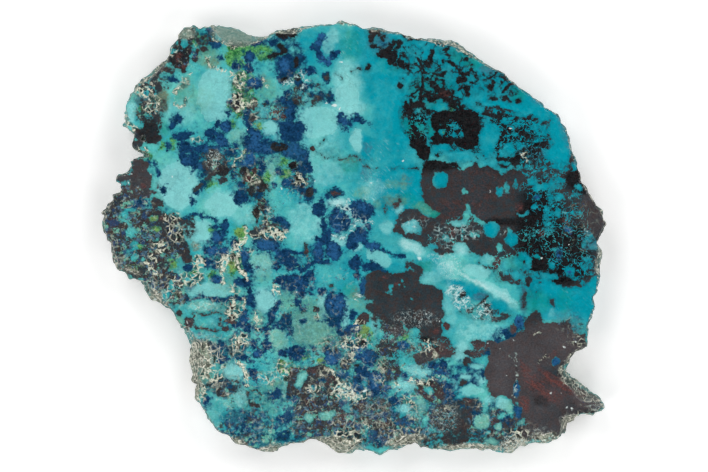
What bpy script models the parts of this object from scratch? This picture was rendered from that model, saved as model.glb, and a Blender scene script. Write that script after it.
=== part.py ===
"""Chrysocolla specimen: one slab of natural stone with a polished face.

The slab was sawn flat across its back and ground and polished level on its face.  The sides are left as
the rock broke: lumpy, stepped in ledges, and in places covered by a porous rind that slopes away outside
the polished face.  A few hollows of the rock open in the face.  +Z points out of the polished face, and
the origin is in the middle of the sawn back.
"""

import math

import bmesh
import bpy
import numpy as np
from mathutils import Matrix, Vector, noise

# Driving sizes, in metres.
WIDTH = 0.1012
THICKNESS = 0.0080
FACE_EDGE = 0.00035      # the polished face stops this far inside the outline
BACK_EDGE = 0.0012       # the sawn back stops this far inside the outline
LEDGE_DEPTH = 0.00100    # how deep the steps of the broken sides cut in
LEDGE_LENGTH = 0.0042    # how far a step runs along the side
LEDGE_HEIGHT = 0.0017    # how tall a step is
TURN_REACH = 0.0028      # length of outline, each way, that settles which way is inward

# The slab is widest at this share of its thickness, and lower where a rind slopes away from the face.
WIDEST_LEVEL = 0.80
WIDEST_UNDER_RIND = 0.34
DEEP_RIND = 0.0016
LEVEL_WANDER = 0.13

# Heights of the rings round the side, as shares of the way from the widest ring to the back or the face.
DOWN_TO_BACK = (1.0, 0.80, 0.60, 0.40, 0.20)
UP_TO_FACE = (0.40, 0.75, 1.0)

# The outline is drawn on squared paper, with x to the right and y down.  It goes anticlockwise.
OUTLINE = [
    # the upper left shoulder, from the peak down
    (184, 28), (181, 30), (178, 35), (178, 38), (174, 41), (173, 43), (171, 47), (170, 51), (167, 56),
    (166, 59), (162, 62), (155, 67), (150, 71), (146, 75), (141, 79), (139, 82), (135, 85), (134, 91),
    (130, 94), (129, 98), (126, 102), (124, 106), (124, 115), (123, 118), (124, 121), (122, 123),
    # the ragged left side
    (122, 126), (127, 129), (131, 132), (133, 134), (134, 137), (131, 143), (131, 147), (135, 150),
    (142, 154), (142, 156), (137, 157), (133, 158), (130, 161), (131, 165), (128, 171), (125, 173),
    (121, 174), (117, 176), (115, 179), (116, 182), (120, 184), (119, 187), (121, 190), (120, 193),
    (113, 195), (113, 199), (107, 205), (105, 208), (102, 210), (101, 213), (104, 216), (101, 221),
    (103, 229), (105, 235), (107, 240), (110, 243), (110, 248), (113, 262), (116, 268), (119, 271),
    # the lower left flank
    (124, 273), (129, 279), (134, 280), (139, 281), (144, 285), (144, 290), (148, 298), (150, 300.5),
    (156, 302), (172, 311), (174, 315), (175, 320), (180, 328), (184, 329), (184, 333), (190, 347),
    (189, 352), (190, 360), (191, 383), (195, 386), (194, 392), (195, 399), (200, 406), (204, 411),
    (208, 419), (213, 426), (217, 431), (222, 434), (228, 436), (235, 443), (246, 447), (257, 450),
    # the foot
    (267, 452), (273, 453.5), (277, 452), (278, 449.5), (283, 448), (288, 446), (290, 443.5), (297, 444),
    (303, 443), (308, 440), (313, 439), (317, 440), (321, 442), (334, 451), (339, 453.5), (345, 455),
    (352, 454), (356, 451), (362, 450.5), (367, 450.5), (375, 453), (380, 455.5), (384, 453.5),
    (390, 450.5), (397, 450), (408, 446), (414, 443.5), (418, 445), (420, 448), (426, 448), (432, 450),
    (447, 451.5), (460, 451), (470, 449), (475, 449), (484, 450.5), (488, 449.5), (498, 452),
    (508, 454.5), (512, 454), (520, 447.5), (526, 445.5), (532, 444), (547, 443.5), (556, 440),
    # the tongue and the notch above it
    (560, 438), (566, 431), (568, 424), (575, 421), (576, 418), (580, 416), (585, 414.5), (590, 415),
    (593, 416), (596, 413.5), (604, 410), (606, 408), (605, 404), (600, 397), (597, 394.5), (593, 393),
    (586, 387), (580, 381), (576, 378.5), (573, 378), (567, 372), (568, 368), (570, 363), (571, 358),
    # the right side, going up
    (577, 352), (588, 347), (589, 340), (589, 333), (588, 326), (590, 321), (596, 306), (594, 301),
    (594, 297), (597, 293), (598, 288), (601, 276), (600, 270), (601, 262), (603, 258), (603, 253),
    (601, 248), (598, 243), (600, 238), (602, 232), (607, 224), (605, 220), (603, 216), (602, 211),
    (596, 203), (589, 192), (582, 180), (580, 170), (574, 156), (572, 150), (569, 136), (565, 126),
    (562, 122), (561, 118), (558, 114), (552, 110), (546, 107), (541, 102), (529, 93), (519, 86),
    # the top, back to the peak
    (509, 78), (505, 73), (496, 69), (484, 63), (475, 55), (460, 43), (452, 40), (443, 39), (435, 38),
    (418, 38), (413, 37), (401, 32.5), (388, 30.5), (376, 27.5), (370, 28), (363, 27.5), (353, 23),
    (342, 21), (337, 21.5), (334, 23), (330, 24), (320, 24), (302, 25.5), (290, 28), (282, 29),
    (275, 30.5), (268, 35.5), (262, 36.5), (255, 35.5), (247, 33), (236, 27), (228, 26), (220, 24.5),
    (210, 25), (200, 27.5), (193, 26), (190, 27),
]

# Where the rind shows outside the polished face: a place on the outline, in squares, then how far the
# rind reaches along the side each way and how wide it is there, in metres.
RINDS = [
    ((150, 71), 0.0050, 0.0008),
    ((123, 121), 0.0016, 0.0010),
    ((143, 154), 0.0018, 0.0012),
    ((101, 215), 0.0036, 0.0006),
    ((112, 256), 0.0044, 0.0007),
    ((147, 294), 0.0034, 0.0015),
    ((190, 366), 0.0078, 0.0022),
    ((272, 453), 0.0020, 0.0014),
    ((339, 453.5), 0.0056, 0.0020),
    ((403, 448), 0.0038, 0.0018),
    ((470, 449), 0.0066, 0.0010),
    ((515, 452), 0.0034, 0.0026),
    ((569, 424), 0.0026, 0.0017),
    ((606, 408), 0.0020, 0.0008),
    ((584, 385), 0.0052, 0.0024),
    ((568, 366), 0.0020, 0.0009),
    ((601, 260), 0.0036, 0.0009),
    ((454, 40), 0.0062, 0.0009),
    ((292, 28), 0.0034, 0.0009),
    ((258, 36), 0.0022, 0.0008),
    ((234, 27), 0.0052, 0.0036),
]

# Hollows that open in the polished face: a place in squares, half length, half width and depth in metres,
# and the turn of the long side from +X, in degrees.
HOLLOWS = [
    ((152.5, 98.0), 0.00125, 0.00060, 0.00110, -58),
    ((143.0, 138.0), 0.00060, 0.00040, 0.00070, 70),
    ((178.0, 284.0), 0.00055, 0.00045, 0.00070, 20),
    ((201.0, 361.0), 0.00060, 0.00045, 0.00060, -30),
    ((207.5, 375.5), 0.00065, 0.00030, 0.00060, -50),
    ((214.3, 360.0), 0.00095, 0.00036, 0.00120, 88),
    ((286.8, 378.6), 0.00075, 0.00055, 0.00090, 10),
    ((233.0, 255.5), 0.00062, 0.00042, 0.00070, 65),
    ((562.0, 419.5), 0.00050, 0.00036, 0.00050, -20),
]
HOLLOW_ROUGHNESS = 0.22
HOLLOW_CUT_SUBDIVISIONS = 2

STONE_COLOUR = (0.06, 0.42, 0.44, 1.0)
STONE_ROUGHNESS = 0.35


def clear_scene():
    for thing in list(bpy.data.objects):
        bpy.data.objects.remove(thing, do_unlink=True)


def stone_material():
    """Blue-green polished stone."""
    material = bpy.data.materials.new("chrysocolla")
    material.use_nodes = True
    shader = material.node_tree.nodes["Principled BSDF"]
    shader.inputs["Base Color"].default_value = STONE_COLOUR
    shader.inputs["Roughness"].default_value = STONE_ROUGHNESS
    shader.inputs["Metallic"].default_value = 0.0
    return material


def from_paper(places):
    """Turns places on the squared paper into metres, centred on the drawn outline."""
    drawn = np.array(OUTLINE, float)
    low, high = drawn.min(axis=0), drawn.max(axis=0)
    square = WIDTH / (high[0] - low[0])
    return (np.array(places, float) - (low + high) / 2) * (square, -square)


def inward_directions(outline, along, length):
    """The unit vector into the slab at each point, square to a chord of the outline across that point."""
    wrapped = np.vstack([outline, outline, outline])
    stations = np.concatenate([along - length, along, along + length])

    def place(distance):
        return np.column_stack([np.interp(distance, stations, wrapped[:, axis]) for axis in (0, 1)])

    chord = place(along + TURN_REACH) - place(along - TURN_REACH)
    inward = np.column_stack([-chord[:, 1], chord[:, 0]])
    return inward / np.linalg.norm(inward, axis=1)[:, None]


def rind_widths(outline, along, length):
    """How wide the rind outside the polished face is at each point of the outline."""
    widths = np.zeros(len(outline))
    for place, reach, width in RINDS:
        centre = along[np.argmin(np.linalg.norm(outline - from_paper([place]), axis=1))]
        apart = np.abs((along - centre + length / 2) % length - length / 2)
        share = np.clip(apart / reach, 0.0, 1.0)
        widths = np.maximum(widths, width * np.cos(share * math.pi / 2) ** 0.8)
    return widths


def wander(x, y, z, length, height):
    """Smooth noise between about -1 and 1 that changes over the given length and height."""
    return noise.noise(Vector((x / length, y / length, z / height)))


def side_rings():
    """The rings of the side from the sawn back up to the polished face, each a list of (x, y, z)."""
    outline = from_paper(OUTLINE)
    steps = np.linalg.norm(np.roll(outline, -1, axis=0) - outline, axis=1)
    length = steps.sum()
    along = np.concatenate([[0.0], np.cumsum(steps)[:-1]])
    inward = inward_directions(outline, along, length)
    rinds = rind_widths(outline, along, length)
    levels = []
    for (x, y), rind in zip(outline, rinds):
        under_rind = min(rind / DEEP_RIND, 1.0)
        level = WIDEST_LEVEL + (WIDEST_UNDER_RIND - WIDEST_LEVEL) * under_rind
        levels.append(THICKNESS * (level + LEVEL_WANDER * wander(x, y, 0.0, 0.006, 1.0)))

    def ring(share, up):
        points = []
        for (x, y), way, rind, level in zip(outline, inward, rinds, levels):
            height = level + (THICKNESS - level) * share if up else level * (1 - share)
            end = FACE_EDGE + rind if up else BACK_EDGE * (1 + 0.6 * wander(x, y, 5.0, 0.009, 1.0))
            ledge = LEDGE_DEPTH * abs(wander(x, y, height, LEDGE_LENGTH, LEDGE_HEIGHT))
            middle = math.sin(math.pi * share) * (1.4 if up else 2.4)
            inset = end * share ** 2 + ledge * middle
            points.append((x + way[0] * inset, y + way[1] * inset, height))
        return points

    return ([ring(share, up=False) for share in DOWN_TO_BACK]
            + [ring(0.0, up=True)]
            + [ring(share, up=True) for share in UP_TO_FACE])


def slab_object(material):
    """The slab: its rings bridged into a broken side, closed by a flat sawn back and a flat face."""
    shape = bmesh.new()
    rings = [[shape.verts.new(point) for point in ring] for ring in side_rings()]
    for lower, upper in zip(rings, rings[1:]):
        for index, start in enumerate(lower):
            after = (index + 1) % len(lower)
            shape.faces.new((start, lower[after], upper[after], upper[index]))
    shape.faces.new(list(reversed(rings[0])))
    shape.faces.new(rings[-1])
    mesh = bpy.data.meshes.new("chrysocolla_slab")
    shape.to_mesh(mesh)
    shape.free()
    mesh.materials.append(material)
    slab = bpy.data.objects.new("chrysocolla_slab", mesh)
    bpy.context.scene.collection.objects.link(slab)
    return slab


def hollow_cutter(number, place, half_length, half_width, depth, turn):
    """A lumpy egg, centred in the plane of the face, that cuts one hollow."""
    x, y = from_paper([place])[0]
    shape = bmesh.new()
    bmesh.ops.create_icosphere(shape, subdivisions=HOLLOW_CUT_SUBDIVISIONS, radius=1.0)
    for vert in shape.verts:
        vert.co *= 1 + HOLLOW_ROUGHNESS * noise.noise(vert.co * 1.7 + Vector((number * 5.0, 0.0, 0.0)))
    stretch = Matrix.Diagonal((half_length, half_width, depth, 1.0))
    place_it = Matrix.Translation((x, y, THICKNESS)) @ Matrix.Rotation(math.radians(turn), 4, "Z")
    bmesh.ops.transform(shape, matrix=place_it @ stretch, verts=shape.verts)
    mesh = bpy.data.meshes.new(f"hollow_{number}")
    shape.to_mesh(mesh)
    shape.free()
    cutter = bpy.data.objects.new(f"hollow_{number}", mesh)
    cutter.hide_render = True
    cutter.display_type = "WIRE"
    bpy.context.scene.collection.objects.link(cutter)
    return cutter


def cut_hollows(slab):
    """Opens each hollow in the slab's face."""
    for number, hollow in enumerate(HOLLOWS):
        cut = slab.modifiers.new(f"hollow_{number}", "BOOLEAN")
        cut.operation = "DIFFERENCE"
        cut.solver = "EXACT"
        cut.object = hollow_cutter(number, *hollow)


def build():
    clear_scene()
    slab = slab_object(stone_material())
    cut_hollows(slab)


build()
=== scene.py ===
import math
from collections import Counter

import bmesh
import bpy
import numpy as np
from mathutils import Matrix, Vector, kdtree, noise
from mathutils.geometry import delaunay_2d_cdt


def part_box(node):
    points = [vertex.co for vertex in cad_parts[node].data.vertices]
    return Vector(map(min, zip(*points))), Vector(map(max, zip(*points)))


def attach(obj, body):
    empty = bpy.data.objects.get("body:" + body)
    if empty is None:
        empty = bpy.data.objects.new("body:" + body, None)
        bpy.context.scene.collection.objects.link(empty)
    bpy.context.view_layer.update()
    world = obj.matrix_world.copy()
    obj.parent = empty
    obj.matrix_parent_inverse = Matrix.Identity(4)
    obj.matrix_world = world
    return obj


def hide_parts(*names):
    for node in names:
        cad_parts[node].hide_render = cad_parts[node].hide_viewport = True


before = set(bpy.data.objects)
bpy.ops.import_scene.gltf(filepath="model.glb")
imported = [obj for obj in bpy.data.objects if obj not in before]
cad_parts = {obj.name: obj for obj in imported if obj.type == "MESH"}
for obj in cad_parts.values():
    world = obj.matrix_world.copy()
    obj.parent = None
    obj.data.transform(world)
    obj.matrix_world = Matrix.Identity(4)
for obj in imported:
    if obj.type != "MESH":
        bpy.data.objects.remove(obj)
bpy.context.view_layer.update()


# ---------------------------------------------------------------- the slab's shape
# One piece of natural stone, sawn flat at the back and polished on its face, with its sides left broken.
# The face and the back are flat sheets of small triangles inside the edges that the saw and the polish
# left.  The sides keep the ledges of the solid and get the fine lumps and pores of the broken rock.

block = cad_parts["chrysocolla_slab"]
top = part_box("chrysocolla_slab")[1][2]
FLAT = 0.00002          # a corner this close to a level lies on it
FACE_GRAIN = 0.00034    # how long the triangles are on the face, and then on the back and the sides
BACK_GRAIN = 0.00120
SIDE_GRAIN = 0.00078
SIDE_SPLITS = 3
RIM_ROOM = 0.55         # share of a grain that a sheet's inner points stay away from its rim


def on_level(points, level):
    return all(abs(point.co.z - level) < FLAT for point in points)


def broken_sides():
    """The solid without its flat face and back, its long edges split until they are short."""
    shape = bmesh.new()
    shape.from_mesh(block.data)
    bmesh.ops.remove_doubles(shape, verts=shape.verts, dist=FLAT / 10)
    flats = [face for face in shape.faces if on_level(face.verts, top) or on_level(face.verts, 0.0)]
    bmesh.ops.delete(shape, geom=flats, context="FACES")
    for _ in range(SIDE_SPLITS):
        long_edges = [edge for edge in shape.edges if edge.calc_length() > SIDE_GRAIN]
        bmesh.ops.subdivide_edges(shape, edges=long_edges, cuts=1)
        bmesh.ops.triangulate(shape, faces=shape.faces)
    drop_flaps(shape)
    return shape


def drop_flaps(shape):
    """Takes out triangles that lie back to back on the same three corners."""
    triples = [frozenset(face.verts) for face in shape.faces]
    times = Counter(triples)
    flaps = [face for face, triple in zip(shape.faces, triples) if times[triple] > 1]
    bmesh.ops.delete(shape, geom=flaps, context="FACES")


def inside_loops(points, starts, ends):
    """True for each point that lies inside the closed loops made by the edges."""
    inside = np.zeros(len(points), bool)
    for (ax, ay), (bx, by) in zip(starts, ends):
        if ay == by:
            continue
        crossed = (points[:, 1] > min(ay, by)) & (points[:, 1] <= max(ay, by))
        at_x = ax + (points[:, 1] - ay) * (bx - ax) / (by - ay)
        inside ^= crossed & (points[:, 0] < at_x)
    return inside


def rows_of_seeds(flat_corners, grain):
    """Points in offset rows, one grain apart, over the whole width of the corners."""
    low, high = flat_corners.min(axis=0), flat_corners.max(axis=0)
    rows = np.arange(low[1], high[1], grain * math.sqrt(3) / 2)
    columns = np.arange(low[0], high[0], grain)
    return np.array([(x + grain / 2 * (row % 2), y) for row, y in enumerate(rows) for x in columns])


def fill_flat(shape, level, grain, face_up):
    """Closes the open loops at one level with a flat sheet of triangles about one grain long.

    The hollows of the rock open in the sheet, so no triangle is laid over them.
    """
    rim = [edge for edge in shape.edges if edge.is_boundary and on_level(edge.verts, level)]
    corners = list({vert for edge in rim for vert in edge.verts})
    corners.sort(key=lambda vert: vert.index)
    number = {vert: index for index, vert in enumerate(corners)}
    flat_corners = np.array([vert.co[:2] for vert in corners])
    lines = np.array([[number[vert] for vert in edge.verts] for edge in rim])
    starts, ends = flat_corners[lines[:, 0]], flat_corners[lines[:, 1]]
    seeds = rows_of_seeds(flat_corners, grain)
    seeds = seeds[inside_loops(seeds, starts, ends)]
    near = kdtree.KDTree(len(corners))
    for index, (x, y) in enumerate(flat_corners):
        near.insert((x, y, 0.0), index)
    near.balance()
    seeds = [seed for seed in seeds if near.find((seed[0], seed[1], 0.0))[2] > grain * RIM_ROOM]
    spots = [Vector(spot) for spot in flat_corners] + [Vector(seed) for seed in seeds]
    inside_outline = 1
    filled = delaunay_2d_cdt(spots, lines.tolist(), [], inside_outline, FLAT / 100)
    places, triangles, origins = filled[0], filled[2], filled[3]
    verts = []
    for place, origin in zip(places, origins):
        known = [index for index in origin if index < len(corners)]
        verts.append(corners[known[0]] if known else shape.verts.new((place.x, place.y, level)))
    middles = np.array(places)[np.array(triangles)].mean(axis=1)
    for triangle, on_stone in zip(triangles, inside_loops(middles, starts, ends)):
        loop = [verts[index] for index in triangle]
        if on_stone:
            shape.faces.new(loop if face_up else reversed(loop))


shape = broken_sides()
shape.verts.index_update()
fill_flat(shape, top, FACE_GRAIN, face_up=True)
shape.verts.index_update()
fill_flat(shape, 0.0, BACK_GRAIN, face_up=False)
slab_mesh = bpy.data.meshes.new("polished_slab")
shape.to_mesh(slab_mesh)
shape.free()

# The broken rock swells and sinks by a few tenths of a millimetre; the flat sheets stay flat, apart from
# the polished edge, which is rounded over and lightly chipped.
LUMP = 0.00038
LUMP_SIZE = 0.0016
PORE = 0.00016
PORE_SIZE = 0.00050
EDGE_ROUND = 0.00055
EDGE_DROP = 0.00014
CHIPPING = 0.9          # how much the edge's drop varies along it

points = np.array([vert.co for vert in slab_mesh.vertices])
normals = np.array([vert.normal for vert in slab_mesh.vertices])
on_face = np.abs(points[:, 2] - top) < FLAT
on_back = np.abs(points[:, 2]) < FLAT
sides = ~(on_face | on_back)


def rough(point, size):
    """Layered noise about -1 to 1, with lumps of the given size."""
    roughness, spacing, layers = 0.9, 2.1, 3
    return noise.fractal(point / size, roughness, spacing, layers)


for index in np.flatnonzero(sides):
    place = Vector(points[index])
    room = min(place.z, top - place.z) / (EDGE_ROUND * 1.5)
    swell = LUMP * rough(place, LUMP_SIZE) - PORE * abs(rough(place, PORE_SIZE))
    points[index] += normals[index] * swell * min(room, 1.0)

edge_tree = kdtree.KDTree(int(sides.sum()))
for index in np.flatnonzero(sides):
    edge_tree.insert(points[index], int(index))
edge_tree.balance()
to_edge = np.ones(len(points))
for index in np.flatnonzero(on_face):
    to_edge[index] = edge_tree.find(points[index])[2]
rounding = np.clip(1 - to_edge / EDGE_ROUND, 0, 1) ** 2
for index in np.flatnonzero(rounding > 0):
    chip = 1 + CHIPPING * rough(Vector(points[index]), PORE_SIZE * 2)
    points[index][2] -= EDGE_DROP * rounding[index] * chip

slab_mesh.vertices.foreach_set("co", points.ravel())
slab_mesh.shade_smooth()

# ---------------------------------------------------------------- where the minerals lie
# The minerals are laid out on squared paper, five squares to the millimetre, x to the right and y down.
# A patch is (x, y, half width, half height), with a turn in degrees and a greatest level where it needs
# them; a vein is (half width, (x, y), (x, y), ...).  A mineral's level at a point is how many squares the
# point lies inside its patches and veins.  A cloud is (x, y, half width, half height, strength), with a
# turn where it needs one, and fades out past its edge.

SQUARE = 0.0002
PAPER_MIDDLE = (354.0, 238.25)
FAR_OUT = -14.0
NO_CAP = 99.0
CLOUD_END = 1.25        # a cloud has faded away at this many of its half widths
CLOUD_FADE = 0.6        # and fades over this many
DRIFT_SEED = 5
WIDE_WAVE = 9           # the waves that the pattern drifts in, and how far, all in squares
WIDE_DRIFT = 2.6
FINE_WAVE = 3.5
FINE_DRIFT = 1.3
DEEP_WAVE = 30
DEEP_DRIFT = 0.30       # for each square of depth
SKIN_DEEP = 0.5         # only points deeper than this have the deep drift


def drifted_places():
    """Every point of the slab on the paper.  Deeper in the stone the pattern drifts aside."""
    noise.seed_set(DRIFT_SEED)
    places = np.column_stack([
        PAPER_MIDDLE[0] + points[:, 0] / SQUARE,
        PAPER_MIDDLE[1] - points[:, 1] / SQUARE,
    ])
    drift = np.zeros((len(points), 2))
    for index, point in enumerate(points):
        spot = Vector(point) / SQUARE
        wide = noise.noise_vector(spot / WIDE_WAVE)
        fine = noise.noise_vector(spot / FINE_WAVE)
        drift[index] = (wide.x * WIDE_DRIFT + fine.x * FINE_DRIFT, wide.y * WIDE_DRIFT + fine.y * FINE_DRIFT)
        depth = (top - point[2]) / SQUARE
        if depth > SKIN_DEEP:
            deep = noise.noise_vector(spot / DEEP_WAVE)
            drift[index] += (deep.x * depth * DEEP_DRIFT, deep.y * depth * DEEP_DRIFT)
    return places + drift


paper = drifted_places()


def patch_levels(patches):
    """Squares inside the nearest patch; outside them the level is below zero."""
    level = np.full(len(paper), FAR_OUT)
    for x, y, half_width, half_height, *more in patches:
        turn = math.radians(more[0]) if more else 0.0
        cap = more[1] if len(more) > 1 else NO_CAP
        reach = max(half_width, half_height) * 3 - FAR_OUT
        near = np.flatnonzero((np.abs(paper[:, 0] - x) < reach) & (np.abs(paper[:, 1] - y) < reach))
        dx, dy = paper[near, 0] - x, paper[near, 1] - y
        along = (dx * math.cos(turn) + dy * math.sin(turn)) / half_width
        across = (dy * math.cos(turn) - dx * math.sin(turn)) / half_height
        inside = (1 - np.hypot(along, across)) * min(half_width, half_height)
        level[near] = np.maximum(level[near], np.minimum(inside, cap))
    return level


def vein_levels(veins):
    """Squares inside the nearest vein, whose line runs through its places."""
    level = np.full(len(paper), FAR_OUT)
    for half_width, *route in veins:
        for (ax, ay), (bx, by) in zip(route, route[1:]):
            low_x, high_x = min(ax, bx) + FAR_OUT, max(ax, bx) - FAR_OUT
            low_y, high_y = min(ay, by) + FAR_OUT, max(ay, by) - FAR_OUT
            near = np.flatnonzero((paper[:, 0] > low_x) & (paper[:, 0] < high_x)
                                  & (paper[:, 1] > low_y) & (paper[:, 1] < high_y))
            px, py = paper[near, 0] - ax, paper[near, 1] - ay
            run_x, run_y = bx - ax, by - ay
            share = np.clip((px * run_x + py * run_y) / (run_x ** 2 + run_y ** 2), 0, 1)
            inside = half_width - np.hypot(px - share * run_x, py - share * run_y)
            level[near] = np.maximum(level[near], inside)
    return level


def cloud_strengths(clouds):
    """How strong the strongest cloud is: in full inside it, fading past its edge."""
    strength = np.zeros(len(paper))
    for x, y, half_width, half_height, full, *more in clouds:
        turn = math.radians(more[0]) if more else 0.0
        dx, dy = paper[:, 0] - x, paper[:, 1] - y
        cos, sin = math.cos(turn), math.sin(turn)
        ring = np.hypot((dx * cos + dy * sin) / half_width, (dy * cos - dx * sin) / half_height)
        share = np.clip((CLOUD_END - ring) / CLOUD_FADE, 0, 1)
        strength = np.maximum(strength, full * share * share * (3 - 2 * share))
    return strength


def lay(name, values):
    """Keeps one number for each point of the slab, for its material to read by name."""
    kept = slab_mesh.attributes.new(name, "FLOAT", "POINT")
    kept.data.foreach_set("value", np.asarray(values, dtype=np.float32))


lay("side", np.where(sides, 1.0, 0.0))
lay("back", np.where(on_back, 1.0, 0.0))

# The chrysocolla itself: aqua over most of the slab, deep teal at the right, milky where it is fine and
# chalky, sage where it is stained, mossy and slate grey in small places.

lay("teal", cloud_strengths([
    (392, 190, 54, 120, 0.62), (470, 320, 50, 40, 0.35), (410, 60, 60, 40, 0.9), (400, 190, 30, 40, 0.95),
    (395, 120, 28, 46, 0.9), (385, 80, 24, 44, 0.85), (540, 80, 70, 34, 1.0, 32),
    (580, 150, 34, 60, 1.0, -20), (345, 270, 60, 44, 0.5), (300, 200, 60, 90, 0.25),
    (590, 290, 30, 40, 1.0), (320, 95, 26, 60, 0.25), (330, 45, 26, 24, 0.55), (490, 110, 85, 62, 0.92, 20),
    (550, 180, 45, 60, 0.9), (455, 130, 45, 30, 0.95), (560, 285, 42, 30, 0.95), (400, 150, 30, 30, 0.75),
    (368, 148, 9, 16, 0.95), (412, 185, 14, 24, 1.0), (408, 152, 10, 14, 0.8), (395, 190, 26, 12, 0.85),
    (530, 120, 40, 40, 1.0, 30), (555, 150, 22, 34, 1.0), (500, 107, 24, 8, 1.0), (450, 70, 40, 30, 0.75),
    (415, 85, 18, 20, 0.65), (360, 42, 12, 20, 0.8), (345, 48, 14, 14, 0.7), (310, 40, 14, 12, 0.85),
    (310, 58, 9, 9, 0.8), (322, 80, 8, 8, 0.3), (441, 180, 9, 10, 1.0), (491, 230, 9, 9, 0.95),
    (512, 240, 8, 9, 0.95), (499, 192, 5, 6, 0.9), (550, 200, 16, 40, 0.8), (553, 263, 6, 6, 0.9),
    (530, 262, 20, 14, 0.9), (565, 298, 32, 16, 1.0), (540, 292, 22, 22, 0.85), (455, 283, 14, 5, 1.0, 10),
    (472, 292, 16, 8, 0.95, 15), (516, 275, 14, 10, 0.8), (500, 308, 10, 11, 0.6), (425, 262, 14, 6, 0.7),
    (440, 275, 14, 8, 0.5), (460, 156, 16, 7, 0.8), (440, 150, 14, 8, 0.6), (509, 150, 10, 10, 0.9),
    (213, 410, 10, 18, 0.2), (228, 412, 10, 12, 0.15), (202, 188, 4, 6, 0.3), (552, 313, 18, 8, 0.8),
    (355, 185, 20, 10, 0.35), (318, 60, 12, 14, 0.5), (433, 246, 5, 4, 0.8), (352, 292, 8, 6, 0.6),
    (325, 148, 12, 9, 0.4), (440, 343, 5, 6, 0.5), (572, 190, 20, 30, 0.8), (575, 265, 20, 16, 0.7),
    (205, 165, 6, 10, 0.3), (506, 266, 7, 7, 0.6), (498, 307, 10, 9, 0.95), (588, 240, 12, 14, 0.7),
    (400, 120, 10, 40, 1.0),
]))
lay("pale", cloud_strengths([
    (213, 412, 10, 18, 0.3), (230, 400, 12, 12, 0.25), (347, 83, 15, 24, 0.75), (347, 108, 18, 9, 0.85),
    (357, 140, 7, 12, 0.7), (333, 36, 6, 9, 0.7), (328, 46, 6, 9, 0.6), (326, 42, 4, 6, 0.6),
    (215, 90, 18, 22, 0.45), (222, 112, 14, 12, 0.4), (270, 128, 10, 7, 0.6), (222, 205, 18, 16, 0.65),
    (245, 215, 14, 10, 0.45), (305, 130, 40, 40, 0.35), (325, 172, 18, 14, 0.45), (305, 225, 18, 22, 0.4),
    (337, 203, 12, 7, 0.85), (347, 213, 5, 7, 0.85), (338, 240, 10, 6, 0.75), (357, 247, 5, 5, 0.9),
    (387, 228, 7, 7, 0.6), (372, 188, 12, 10, 0.4), (411, 246, 13, 7, 0.7, 15), (418, 251, 8, 4, 0.8, 20),
    (400, 210, 4, 6, 0.7), (461, 249, 10, 8, 0.75), (411, 227, 10, 8, 0.55), (487, 260, 8, 7, 0.35),
    (457, 223, 8, 5, 0.5), (477, 271, 13, 6, 0.45, 10), (497, 292, 22, 6, 0.65, 32),
    (512, 303, 8, 5, 0.5, 45), (448, 268, 14, 12, 0.5), (265, 300, 13, 12, 0.85), (323, 305, 6, 16, 0.5),
    (346, 315, 4, 16, 0.7), (375, 325, 4, 10, 0.6), (450, 305, 7, 26, 0.35), (480, 332, 26, 14, 0.35),
    (462, 352, 10, 12, 0.65), (474, 378, 14, 8, 0.6), (420, 371, 14, 7, 0.55, 8), (405, 385, 14, 7, 0.55),
    (499, 403, 9, 7, 0.55), (405, 408, 8, 5, 0.5), (178, 186, 22, 24, 0.85), (198, 232, 16, 14, 0.6),
    (180, 112, 16, 14, 0.4), (205, 290, 24, 8, 0.4), (235, 372, 12, 9, 0.8), (240, 395, 7, 14, 0.35),
    (131, 112, 7, 12, 0.6), (163, 83, 14, 14, 0.1), (552, 313, 4, 5, 0.4), (490, 400, 6, 4, 0.6),
    (238, 133, 9, 9, 0.3), (262, 268, 14, 10, 0.3), (262, 112, 6, 12, 0.25), (215, 322, 8, 6, 0.2),
    (430, 278, 12, 8, 0.35), (203, 338, 10, 6, 0.4), (360, 222, 12, 4, 0.5, -20), (455, 385, 6, 6, 0.4),
]))
lay("chalk", cloud_strengths([
    (409, 245, 9, 4, 0.3, 20), (417, 252, 5, 2.5, 0.35, 20), (474, 281, 18, 2.0, 0.5, 30),
    (450, 266, 5, 5, 0.2), (503, 296, 12, 3.5, 0.25, 36), (419.5, 257.5, 2, 2, 0.9), (441, 254, 4, 3, 0.3),
    (337, 203, 8, 4, 0.35), (461, 251, 6, 4, 0.2), (490, 288, 10, 3, 0.2, 32),
]))
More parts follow.
